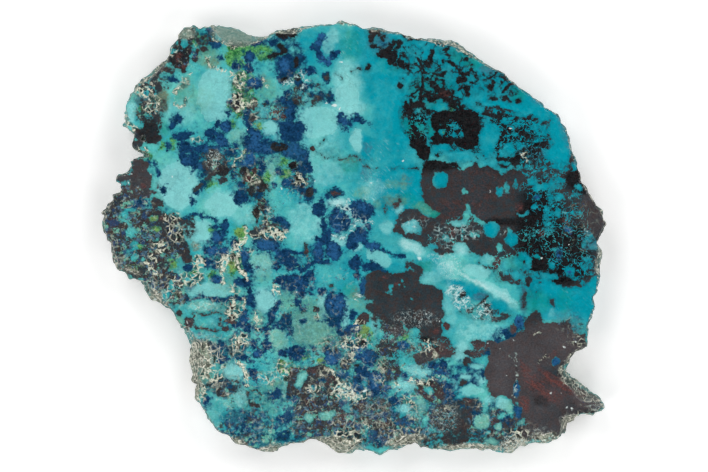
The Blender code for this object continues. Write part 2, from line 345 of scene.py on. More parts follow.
lay("sage", cloud_strengths([
    (262, 400, 24, 14, 0.35), (309, 418, 6, 7, 0.5), (328, 415, 10, 6, 0.5, -14),
    (301, 378, 6, 10, 0.4, 30), (215, 300, 30, 8, 0.2), (315, 325, 30, 28, 0.75), (290, 300, 14, 12, 0.7),
    (278, 340, 10, 14, 0.65), (330, 340, 16, 14, 0.6), (262, 265, 14, 12, 0.55), (262, 275, 12, 8, 0.55),
    (208, 58, 13, 10, 0.8), (195, 100, 20, 14, 0.4), (163, 100, 8, 10, 0.7), (238, 138, 10, 10, 0.6),
    (273, 165, 10, 12, 0.65), (268, 178, 8, 8, 0.5), (280, 183, 6, 6, 0.4), (266, 90, 10, 14, 0.45),
    (276, 104, 8, 6, 0.6), (362, 193, 8, 7, 0.55), (376, 205, 5, 5, 0.4), (355, 303, 14, 10, 0.5),
    (225, 280, 16, 14, 0.5), (245, 262, 10, 10, 0.4), (258, 320, 8, 12, 0.7), (178, 322, 6, 9, 0.8),
    (117, 264, 5, 6, 0.8), (105, 225, 4, 10, 0.8), (240, 300, 8, 10, 0.5), (228, 308, 14, 10, 0.4),
    (380, 365, 8, 22, 0.8), (340, 370, 10, 20, 0.6), (425, 208, 14, 5, 0.4, 15), (482, 422, 9, 10, 0.7),
    (506, 407, 8, 7, 0.6), (498, 427, 4, 4, 0.7), (520, 423, 4, 4, 0.7), (492, 441, 9, 4, 0.7),
    (270, 395, 14, 10, 0.4), (285, 392, 7, 9, 0.4), (275, 385, 6, 6, 0.8), (237, 345, 12, 10, 0.5),
    (420, 402, 10, 10, 0.5), (225, 370, 12, 12, 0.4), (200, 365, 12, 30, 0.6), (455, 178, 6, 4, 0.6),
    (403, 335, 10, 8, 0.5), (135, 97, 8, 8, 0.5), (392, 184, 9, 5, 0.45), (395, 200, 14, 6, 0.4),
    (404, 183, 4, 8, 0.5), (230, 400, 8, 8, 0.3), (155, 238, 12, 12, 0.4), (200, 300, 14, 14, 0.2),
    (300, 370, 10, 8, 0.4),
]))
lay("moss", cloud_strengths([
    (350, 45, 12, 18, 0.35), (425, 208, 14, 6, 0.75, 15), (436, 218, 9, 7, 0.9, 30), (518, 94, 9, 8, 0.5),
    (408, 200, 12, 8, 0.35), (430, 90, 24, 20, 0.3), (264, 92, 10, 12, 0.3), (470, 60, 24, 8, 0.5, 15),
    (416, 130, 10, 10, 0.6), (432, 128, 6, 12, 0.5), (350, 165, 10, 8, 0.4), (425, 265, 10, 5, 0.5),
    (535, 302, 18, 12, 0.45), (540, 262, 10, 8, 0.4), (565, 300, 8, 14, 0.3), (165, 128, 5, 8, 0.6),
    (180, 98, 7, 8, 0.5), (515, 262, 10, 10, 0.3), (525, 245, 8, 6, 0.5), (350, 290, 8, 8, 0.5),
    (160, 205, 6, 10, 0.2), (440, 280, 12, 6, 0.1), (213, 412, 8, 16, 0.3), (408, 120, 8, 8, 0.4),
    (390, 65, 14, 10, 0.2),
]))
lay("slate", cloud_strengths([
    (143, 102, 7, 7, 0.8), (122, 178, 9, 5, 0.9), (115, 207, 8, 8, 0.7), (112, 230, 10, 16, 0.6),
    (122, 250, 12, 12, 0.5), (368, 148, 4, 6, 0.4), (383, 43, 8, 8, 0.7), (380, 40, 12, 14, 0.5),
    (488, 69, 8, 5, 0.6), (480, 296, 7, 4, 0.7), (523, 300, 3, 13, 0.8), (213, 385, 14, 6, 0.4),
    (240, 420, 16, 10, 0.7), (537, 100, 8, 6, 0.3), (163, 262, 8, 8, 0.6), (188, 288, 6, 4, 0.8),
    (366, 172, 5, 8, 0.4), (590, 228, 12, 8, 0.6), (595, 248, 10, 12, 0.6), (592, 405, 12, 8, 0.7),
    (507, 352, 6, 4, 0.5), (348, 408, 7, 7, 0.6), (375, 412, 16, 14, 0.4), (445, 418, 16, 14, 0.5),
    (532, 153, 14, 8, 0.5), (568, 318, 14, 8, 0.3), (572, 340, 12, 20, 0.5), (300, 398, 18, 6, 0.5),
    (175, 265, 16, 14, 0.3), (565, 130, 6, 30, 0.3, -20), (230, 388, 10, 6, 0.4), (442, 240, 10, 10, 0.4),
    (420, 408, 10, 6, 0.4), (510, 215, 10, 16, 0.3),
]))

# In the left and lower parts the stone is a medley of small cells of every mineral.

lay("medley", cloud_strengths([
    (130, 230, 32, 46, 1.0), (146, 105, 18, 18, 0.6), (165, 285, 30, 20, 1.0, 30),
    (150, 80, 20, 10, 0.6, -40), (245, 345, 46, 30, 0.65), (286, 300, 16, 28, 0.65),
    (265, 265, 14, 10, 0.5), (340, 276, 26, 12, 0.35), (215, 310, 30, 26, 0.3), (248, 400, 32, 36, 0.65),
    (250, 430, 36, 20, 1.0), (325, 375, 50, 30, 0.75), (330, 412, 60, 34, 1.0), (390, 400, 46, 44, 0.9),
    (430, 400, 24, 40, 0.9), (490, 420, 26, 22, 0.75), (310, 310, 34, 38, 0.5), (350, 345, 26, 22, 0.9),
    (243, 90, 16, 30, 0.8), (232, 165, 28, 22, 0.6), (275, 180, 40, 30, 0.5), (190, 56, 16, 16, 0.7),
    (262, 215, 16, 24, 0.6), (215, 262, 22, 22, 0.5), (405, 345, 20, 14, 0.7), (385, 350, 12, 30, 0.8),
    (300, 85, 30, 18, 0.3), (272, 110, 14, 12, 0.6), (385, 435, 60, 10, 1.0), (165, 245, 22, 24, 0.9),
    (200, 355, 14, 34, 0.8), (580, 225, 20, 30, 0.4), (592, 405, 12, 8, 0.5), (570, 330, 14, 18, 0.4),
    (295, 270, 30, 24, 0.4),
]))

# Paler bodies with clear edges, brown stains, and the smooth skin on the upper left rim.

lay("bodies", patch_levels([
    (477, 271, 13, 6.5, 10), (495, 290, 25, 5, 32, 2), (411, 245, 11, 6, 20), (378, 258, 14, 7, 35, 2),
    (338, 240, 8, 5), (337, 203, 10, 5), (266, 301, 10, 11), (222, 205, 17, 12), (305, 222, 17, 18, 0, 0),
    (323, 303, 4, 14), (462, 352, 7, 9), (420, 371, 13, 6, 8), (405, 385, 12, 6), (422, 404, 6, 6),
    (465, 377, 8, 4), (477, 366, 8, 4), (482, 379, 6, 3.5), (471, 391, 12, 4.5), (240, 395, 6, 12),
    (285, 392, 5, 7), (504, 405, 8, 7), (481, 421, 8, 9), (309, 418, 4.5, 5.5), (328, 415.5, 8.5, 4.4, -14),
    (301, 379, 4, 9, 30), (498, 427, 4, 4), (520, 423, 3.5, 3.5), (492, 441, 7, 3), (405, 408, 7, 4),
    (235, 372, 12, 8), (131, 112, 5, 11), (270, 128, 9, 7), (215, 95, 18, 28, 0, 3), (357, 140, 6, 12),
    (347, 100, 12, 20, 0, 2), (178, 186, 20, 24, 0, 2), (200, 231, 14, 11), (318, 122, 20, 16, 0, 2),
    (482, 333, 26, 9, 0, 0), (212, 290, 22, 7), (204, 306, 16, 5), (310, 328, 22, 16, 0, 2),
    (278, 338, 10, 12), (262, 262, 12, 9), (267, 172, 10, 10, 0, 1),
]))
lay("stain", cloud_strengths([
    (162, 101, 6, 12, 1.0), (112, 235, 10, 22, 0.5), (203, 42, 8, 6, 0.6), (236, 43, 12, 3, 0.6),
    (184, 84, 5, 10, 0.6, 35), (178, 68, 8, 4, 0.3), (229, 350, 4, 4, 0.8), (195, 246, 4, 5, 0.7),
    (350, 160, 12, 4, 0.25), (141, 265, 8, 4, 0.7), (212, 63, 8, 6, 0.4), (262, 80, 6, 8, 0.35),
    (405, 180, 8, 6, 0.2), (358, 293, 8, 6, 0.4), (158, 222, 8, 8, 0.4), (242, 90, 8, 12, 0.4),
    (255, 178, 8, 8, 0.5), (395, 202, 10, 5, 0.3), (420, 383, 10, 4, 0.5), (467, 399, 4, 4, 0.4),
    (385, 370, 5, 14, 0.3), (210, 378, 10, 8, 0.3),
]))
lay("skin", cloud_strengths([
    (234, 34, 23, 9, 1.0, 8), (186, 34, 9, 5, 0.6), (258, 37, 8, 3, 0.6),
]))

# Fine light streaks run slantwise through the middle.

lay("streaked", cloud_strengths([
    (370, 185, 24, 30, 1.0), (347, 90, 16, 30, 0.8), (385, 150, 20, 16, 0.7), (400, 215, 40, 30, 0.6, 30),
    (440, 262, 40, 16, 0.7, 25), (330, 170, 20, 20, 0.4), (470, 330, 30, 16, 0.3), (345, 45, 16, 20, 0.5),
    (375, 235, 14, 24, 0.6), (565, 300, 20, 12, 0.3), (305, 130, 14, 20, 0.3),
]))

# The malachite: small green lenses beside the azurite, fibrous and uneven, lime in places.

lay("malachite", patch_levels([
    (246, 49, 20, 7), (266, 54, 10, 7, 0, 1.2), (232, 58, 6, 8), (243, 79, 9, 9, 0, 0.8),
    (246, 98, 10, 12, 0, 0.7), (236, 108, 7, 6, 0, 0.8), (239, 232, 4, 5), (237, 263, 5, 8, -20, 0.8),
    (263, 176, 7, 7, 0, 0.7), (250, 46, 14, 5), (237, 54, 6, 6), (240, 62, 4, 6), (262, 52, 10, 5, 0, 1.2),
    (270, 53, 4, 3), (243, 90, 9, 6, 0, 0.6), (293, 71, 3, 5), (232, 125, 4, 3), (240, 112, 6, 4),
    (248, 151, 5, 2.5), (257, 162, 4, 4), (285, 174, 5, 5), (284, 162, 3, 4), (253, 183, 5, 3.5),
    (250, 176, 5, 4, 0, 0.8), (210, 184, 5, 3.5), (240, 235, 4, 6), (232, 265, 5, 5), (233, 270, 4, 4),
    (173, 262, 4, 6), (193, 273, 4, 3), (154, 218, 5, 3.5), (157, 229, 4, 3.5), (163.5, 146, 2, 3.5),
    (172, 143, 2, 4), (142, 109, 3, 2), (197, 40, 5, 6, 0, 0.4), (205, 42, 4, 5, 0, 0.6), (141, 246, 3, 3),
    (137, 266, 7, 4, 0, 0.8), (364, 331, 8, 5, 40), (360, 334, 7, 5, 20, 0.8), (201, 353, 4, 3),
    (287, 367, 8, 6, 0, 0.3), (322, 362, 4, 4, 0, 0.8), (402, 338, 6, 4, 0, 0.7), (244, 166, 3, 8, 0, 0.6),
    (148, 158, 4, 3, 0, 0.6), (263, 57, 3, 2), (212, 275, 3, 3, 0, 0.6), (213, 229, 3, 4, 0, 0.5),
    (258, 127, 4, 4, 0, 0.5), (444, 118, 1.5, 4, 0, 0.6), (453, 108, 1.5, 4, 0, 0.6),
    (305, 356, 4, 3, 0, 0.5),
]))
lay("lime", cloud_strengths([
    (364, 330, 9, 6, 1.0, 40), (232, 265, 6, 6, 1.0), (240, 232, 5, 6, 0.6), (154, 218, 6, 4, 0.9),
    (157, 229, 5, 4, 0.6), (253, 178, 7, 8, 0.6), (248, 151, 6, 3, 0.6), (173, 262, 5, 7, 0.4),
    (137, 266, 8, 5, 0.9), (205, 42, 6, 6, 0.3), (197, 40, 6, 7, 0.2), (201, 353, 5, 4, 0.6),
    (322, 362, 5, 5, 0.8), (285, 174, 4, 4, 0.3), (164, 96, 6, 6, 0.8), (258, 127, 5, 5, 0.8),
    (244, 155, 5, 6, 0.6), (287, 367, 9, 7, 0.7), (352, 158, 8, 4, 0.3),
]))

# The azurite: deep blue nodules of one to four millimetres, grown into clusters, and the thin blue seams
# that join them.

azurite = patch_levels([
    # upper left corner and the left end
    (215, 45, 6, 4.5), (211, 32, 4, 4), (172, 79, 5, 3), (220, 58, 2.5, 2), (157, 172, 3, 5),
    (149, 162, 2, 3), (154, 163, 2, 3), (168, 147, 2.5, 4), (177, 119, 5.5, 4.5), (173, 125, 3, 4),
    (175, 137, 3, 3), (183, 137, 7, 5), (190, 133, 4, 3), (212, 133, 8, 4), (217, 125, 3, 4),
    (212, 139, 4, 3), (185, 147, 8, 6), (200, 149, 20, 4.5), (183, 155, 5, 5), (187, 162, 5, 6),
    (195, 157, 7, 5), (193, 165, 5, 6), (200, 165, 4, 4.5), (205, 172, 4, 6), (203, 183, 3, 6),
    (197, 192, 3, 3), (140, 203, 11, 4), (155, 209, 3, 3), (157, 212, 3, 2), (143, 254, 5, 3),
    (163, 190, 3, 4), (167, 278, 5, 5), (185, 298, 4, 4),
    # top, from the crust to the blue fork
    (250, 57, 5, 7), (247, 66, 3.5, 5), (250, 70, 3, 3), (236, 66, 4, 4), (255, 83, 8, 6, -35),
    (258, 43, 8, 3), (274, 42, 5, 4), (285, 36, 9, 4), (287, 66, 11, 14), (285, 77, 8, 7), (298, 60, 5, 8),
    (299, 82, 5, 4.5), (306, 88, 5, 4.5), (310, 71, 5.5, 3.5), (311, 86, 3, 2), (288, 93, 4, 4.5),
    (287, 102, 8, 4), (311, 95, 3.5, 2.5), (320, 97, 6, 5.5), (330, 99, 5, 4), (326, 78, 4.5, 5),
    (268, 102, 4, 3), (231, 103, 3, 3), (308, 102, 2.5, 1.5), (322, 36, 5, 3.5), (312, 47, 4, 2.5),
    (318, 46, 3, 4), (334, 55, 4, 4), (331, 97, 3, 5), (383, 43, 3, 2),
    # the big cluster left of the middle
    (290, 110, 7, 12), (287, 127, 8, 8), (299, 128, 7, 7), (292, 136, 10, 8), (270, 147, 24, 6),
    (292, 151, 12, 8), (302, 156, 7, 6), (303, 166, 7, 8), (305, 174, 4, 6), (288, 183, 5, 5),
    (300, 187, 9, 4, 25), (247, 115, 4.5, 8), (249, 123, 5, 4), (253, 131, 5, 5), (256, 138, 7, 9),
    (255, 147, 9, 6), (248, 161, 7, 10, 15), (262, 168, 3.5, 8), (225, 127, 6, 6), (222, 141, 6, 6),
    (214, 134, 6, 4), (212, 150, 9, 4), (235, 147, 4, 3), (230, 153, 6, 5), (233, 175, 3.5, 5),
    (228, 112, 3, 4), (279, 172, 4, 4), (250, 142, 6, 5), (241, 197, 7, 8), (258, 193, 5, 6),
    (266, 205, 3, 6), (240, 185, 4, 3), (273, 186, 2, 3), (310, 168, 3, 6), (277, 220, 8, 4, 10),
    (285, 226, 4, 6), (268, 246, 14, 7.5, 5), (285, 254, 8, 6), (287, 260, 8, 7), (217, 238, 6.5, 8),
    (225, 228, 4, 7), (215, 226, 5, 3.5), (214, 251, 5, 6), (224, 252, 5, 6, -30), (234, 244, 4, 6),
    (245, 256, 5, 8), (247, 267, 5, 6), (208, 262, 5, 6), (215, 267, 4, 4), (189, 268, 5, 5),
    (205, 250, 4, 4), (217, 278, 4.5, 4.5),
    # the middle
    (343, 121, 7, 4, 20), (350, 124, 5, 4), (346, 127, 3, 3), (341, 114, 2.5, 1.5), (357, 119, 4, 2.5),
    (364, 122, 3, 2), (368, 123, 2, 1.5), (352, 115, 3, 1.2), (319, 210, 7, 6.5), (321, 201, 4, 3),
    (309, 193, 6, 7), (340, 222, 11, 12, -20), (336, 214, 6, 6), (362, 211, 12, 10, 25), (355, 206, 6, 6),
    (358, 236, 10, 7, -15), (352, 243, 6, 7), (365, 242, 4, 4), (334, 251, 8, 9), (319, 253, 6, 8),
    (325, 240, 6, 6), (323, 226, 3, 8), (355, 263, 6, 7), (370, 267, 8, 5), (372, 246, 8, 3.5),
    (335, 193, 7, 4), (328, 196, 4, 3), (317, 241, 2.5, 3.5), (346, 209, 3, 2.5), (364, 286, 3.5, 7),
    (357, 275, 3, 4), (367, 291, 3, 3), (368, 227, 3, 3),
    # the lower left and the bottom
    (333, 305, 9, 12), (339, 305, 8, 12), (333, 298, 8, 5), (340, 314, 6, 5), (334, 321, 8, 6),
    (340, 331, 3, 6), (344, 336, 4, 4), (354, 328, 7, 6), (350, 332, 5, 5), (352, 316, 4, 5),
    (245, 283, 7, 4), (237, 281, 3, 4), (249, 291, 3, 6), (251, 300, 4, 8), (253, 306, 3, 6),
    (244, 315, 4.5, 8), (243, 325, 5, 4), (248, 328, 4, 6), (236, 325, 4, 4), (258, 268, 2, 2),
    (287, 262, 8, 5), (292, 267, 4, 3), (278, 265, 3, 3), (285, 282, 6, 5), (297, 283, 8, 7),
    (305, 283, 3, 9), (303, 291, 4, 6), (311, 275, 4, 6), (290, 289, 4, 3), (310, 294, 4, 2),
    (322, 292, 4, 3), (297, 303, 3, 4), (288, 317, 3, 4), (285, 323, 6, 5), (290, 332, 3, 4),
    (304, 322, 4, 3), (271, 317, 4, 6), (254, 345, 5, 5), (213, 348, 7, 5), (222, 345, 5, 6),
    (219, 355, 4, 4), (224, 360, 7, 5), (258, 353, 5, 6), (243, 357, 6, 4), (265, 345, 3, 6),
    (250, 360, 4, 3), (253, 374, 6, 4.5), (206, 402, 3.5, 6), (231, 388, 4, 4), (225, 384, 8, 4),
    (296, 352, 9, 7), (283, 353, 5, 4), (314, 349, 3, 3), (275, 395, 7, 5), (292, 395, 6, 5),
    (303, 402, 6, 5), (285, 418, 8, 6), (331, 357, 7, 8), (328, 352, 6, 5), (357, 350, 4, 5),
    (360, 356, 8, 5), (370, 358, 8, 8), (362, 372, 7, 6), (345, 376, 6, 5), (357, 379, 5, 5),
    (375, 380, 7, 9), (370, 375, 5, 5), (357, 388, 5.5, 6), (386, 388, 6, 5), (376, 392, 7, 5),
    (393, 402, 6, 5), (403, 345, 8, 4), (403, 374, 4, 3), (405, 422, 10, 4), (395, 415, 4, 5),
    (322, 379, 4, 3.5), (313, 383, 4, 3), (433, 366, 6, 4), (443, 366, 5, 6), (440, 373, 8, 4),
    (455, 377, 5, 4), (483, 374, 3, 6), (447, 388, 6, 5), (448, 397, 6, 8), (445, 405, 8, 5),
    (437, 382, 5, 5), (463, 405, 10, 3.5), (473, 410, 8, 5), (508, 422, 6, 5), (380, 440, 6, 6, 0, 1),
    (403, 434, 6, 6, 0, 1), (250, 428, 9, 14, 0, 0.4), (283, 435, 5, 5, 0, 1),
    # the right
    (536, 198, 4, 3), (568, 229, 5, 3), (559, 254, 3, 6), (555, 361, 4, 4, 40), (557, 366, 3, 3),
    (516, 390, 3.5, 8), (518, 412, 4, 8), (520, 323, 5, 7), (510, 336, 8, 4), (497, 344, 3, 5),
    (495, 353, 2, 4), (505, 333, 5, 4), (487, 353, 3, 3), (570, 273, 2, 3),
])
azurite_seams = vein_levels([
    (1.4, (185, 219), (189, 215), (199, 213.5), (203, 218), (216, 219.5)), (2.0, (193, 197), (192.5, 205)),
    (2.5, (320, 40), (318, 50), (321, 58), (327, 64), (332, 58), (337, 52)),
    (3.0, (330, 232), (323, 240), (318, 248)), (1.8, (290, 252), (298, 254), (305, 253)),
    (2.0, (309, 262), (318, 263), (328, 262)), (1.8, (376, 247), (383, 251), (392, 255), (403, 257)),
    (3.0, (372, 262), (378, 269), (386, 272)), (2.2, (210, 299), (222, 299), (235, 298), (247, 299)),
    (2.0, (296, 262), (300, 268), (303, 270)), (2.0, (310, 262), (306, 268), (302, 272)),
    (3.0, (277, 281), (285, 279), (293, 276), (302, 278), (310, 276)),
    (1.4, (296, 300), (300, 306), (304, 310)), (1.6, (274, 326), (282, 328), (292, 328)),
    (2.2, (278, 302), (276, 308), (272, 314), (269, 322), (266, 330), (267, 338), (268, 348)),
    (1.4, (250, 328), (257, 329), (264, 329)), (1.4, (316, 320), (323, 321)),
    (1.6, (185, 299), (195, 297), (202, 297), (212, 298)), (1.5, (474, 414), (473, 422), (474, 432)),
])
lay("azurite", np.maximum(azurite, azurite_seams))

# Brighter royal blue shows in the hearts of some nodules, and the stone around the clusters is dusted with
# blue grains.

ROYAL_STRENGTH = 0.85
royal = cloud_strengths([
    (284, 65, 5, 6, 1.0), (322, 40, 9, 7, 0.7), (325, 60, 7, 6, 0.9), (322, 36, 6, 4, 0.8),
    (255, 81, 7, 4, 0.9, -35), (250, 58, 4, 6, 0.5), (215, 45, 5, 4, 0.4), (288, 112, 4, 9, 0.35),
    (291, 150, 9, 7, 1.0), (301, 155, 6, 5, 0.8), (268, 148, 6, 4, 0.7), (256, 137, 6, 7, 0.8),
    (255, 147, 6, 4, 0.6), (248, 160, 6, 9, 1.0, 15), (222, 141, 6, 5, 0.6), (225, 127, 4, 5, 0.6),
    (212, 150, 10, 4, 0.6), (200, 165, 4, 5, 0.9), (187, 162, 4, 4, 0.5), (216, 237, 5, 6, 1.0),
    (214, 251, 5, 5, 0.9), (224, 252, 4, 5, 0.4), (265, 245, 11, 5, 1.0, 5), (272, 250, 9, 5, 0.5),
    (245, 254, 4, 6, 0.8), (217, 278, 4, 4, 0.8), (336, 228, 6, 6, 0.7), (338, 215, 5, 5, 0.5),
    (360, 205, 10, 4, 0.6, 20), (360, 238, 7, 5, 0.5), (333, 251, 6, 8, 0.8), (319, 254, 5, 7, 0.6),
    (318, 245, 4, 4, 0.5), (373, 246, 7, 4, 0.8), (364, 285, 3, 6, 0.8), (336, 305, 9, 11, 0.7),
    (340, 303, 6, 8, 0.8), (354, 328, 5, 5, 0.5), (331, 358, 6, 7, 1.0), (357, 388, 5, 6, 1.0),
    (376, 381, 6, 8, 0.9), (370, 358, 6, 6, 0.6), (360, 354, 6, 4, 0.8), (386, 388, 6, 5, 0.6),
    (403, 345, 8, 4, 0.7), (405, 422, 9, 4, 1.0), (448, 396, 5, 6, 0.4), (440, 373, 8, 3, 0.7),
    (455, 377, 4, 3, 0.6), (433, 366, 4, 3, 0.3), (497, 344, 3, 4, 0.8), (520, 322, 5, 6, 1.0),
    (555, 361, 5, 5, 1.0), (536, 198, 4, 3, 1.0), (568, 229, 6, 4, 0.9), (559, 254, 4, 6, 1.0),
    (516, 390, 4, 8, 0.8), (518, 412, 4, 8, 0.6), (570, 273, 4, 4, 1.0), (244, 316, 4, 7, 0.6),
    (258, 353, 5, 5, 0.7), (215, 350, 6, 4, 0.3), (346, 376, 6, 5, 0.8), (358, 350, 3, 4, 0.8),
    (343, 121, 5, 3, 0.5), (284, 226, 4, 5, 0.5), (288, 183, 4, 4, 0.8), (299, 283, 6, 5, 0.4),
])
lay("royal", royal * ROYAL_STRENGTH)
lay("blue_dust", cloud_strengths([
    (250, 435, 40, 16, 0.85), (300, 435, 30, 12, 0.8), (370, 438, 30, 10, 0.6), (420, 435, 30, 12, 0.6),
    (255, 330, 60, 70, 0.35), (300, 380, 80, 40, 0.45), (395, 400, 70, 40, 0.4), (240, 130, 60, 60, 0.3),
    (290, 120, 22, 38, 0.75), (255, 148, 24, 22, 0.8), (200, 150, 27, 11, 0.8), (215, 135, 14, 9, 0.7),
    (228, 160, 15, 14, 0.8), (300, 185, 20, 12, 0.75), (342, 230, 27, 33, 0.5), (318, 253, 18, 12, 0.7),
    (285, 260, 20, 12, 0.8), (298, 285, 22, 14, 0.8), (250, 292, 9, 28, 0.75), (245, 330, 20, 12, 0.65),
    (232, 350, 28, 13, 0.75), (265, 350, 22, 10, 0.45), (300, 352, 24, 12, 0.6), (335, 310, 15, 20, 0.8),
    (350, 370, 26, 20, 0.7), (372, 385, 24, 18, 0.7), (300, 400, 24, 12, 0.65), (275, 398, 20, 12, 0.5),
    (250, 425, 34, 20, 0.8), (285, 428, 22, 16, 0.75), (355, 410, 22, 14, 0.6), (390, 402, 18, 16, 0.7),
    (400, 430, 26, 14, 0.7), (446, 384, 18, 26, 0.72), (436, 370, 20, 12, 0.75), (470, 408, 30, 9, 0.75),
    (508, 336, 18, 10, 0.7), (440, 418, 18, 16, 0.55), (225, 386, 22, 12, 0.7), (207, 402, 8, 12, 0.6),
    (305, 92, 28, 14, 0.5), (288, 60, 20, 26, 0.8), (250, 62, 18, 16, 0.5), (215, 245, 15, 24, 0.75),
    (150, 207, 22, 9, 0.5), (346, 121, 14, 8, 0.6), (270, 42, 18, 6, 0.7), (320, 45, 12, 14, 0.4),
    (330, 200, 12, 10, 0.6), (305, 195, 14, 12, 0.7), (245, 192, 18, 14, 0.7), (268, 246, 20, 12, 0.7),
    (340, 335, 16, 16, 0.5), (290, 322, 26, 10, 0.6), (268, 325, 8, 28, 0.6), (200, 345, 14, 14, 0.5),
    (320, 262, 18, 5, 0.6), (380, 440, 14, 8, 0.7), (460, 375, 20, 18, 0.45), (510, 425, 16, 10, 0.6),
    (490, 422, 34, 22, 0.95), (468, 377, 20, 20, 0.8), (205, 40, 12, 8, 0.85), (466, 404, 18, 8, 1.0),
    (566, 328, 7, 9, 0.8), (355, 265, 16, 14, 0.4), (365, 290, 8, 16, 0.5), (205, 172, 10, 16, 0.7),
    (170, 180, 20, 30, 0.25), (185, 275, 16, 12, 0.4), (175, 125, 10, 14, 0.5), (208, 262, 10, 10, 0.6),
]))

# The dark matrix: copper oxides and dark silica, grey and dull over most of its width, black in the
# network at the right.  Turquoise windows are left open in it.

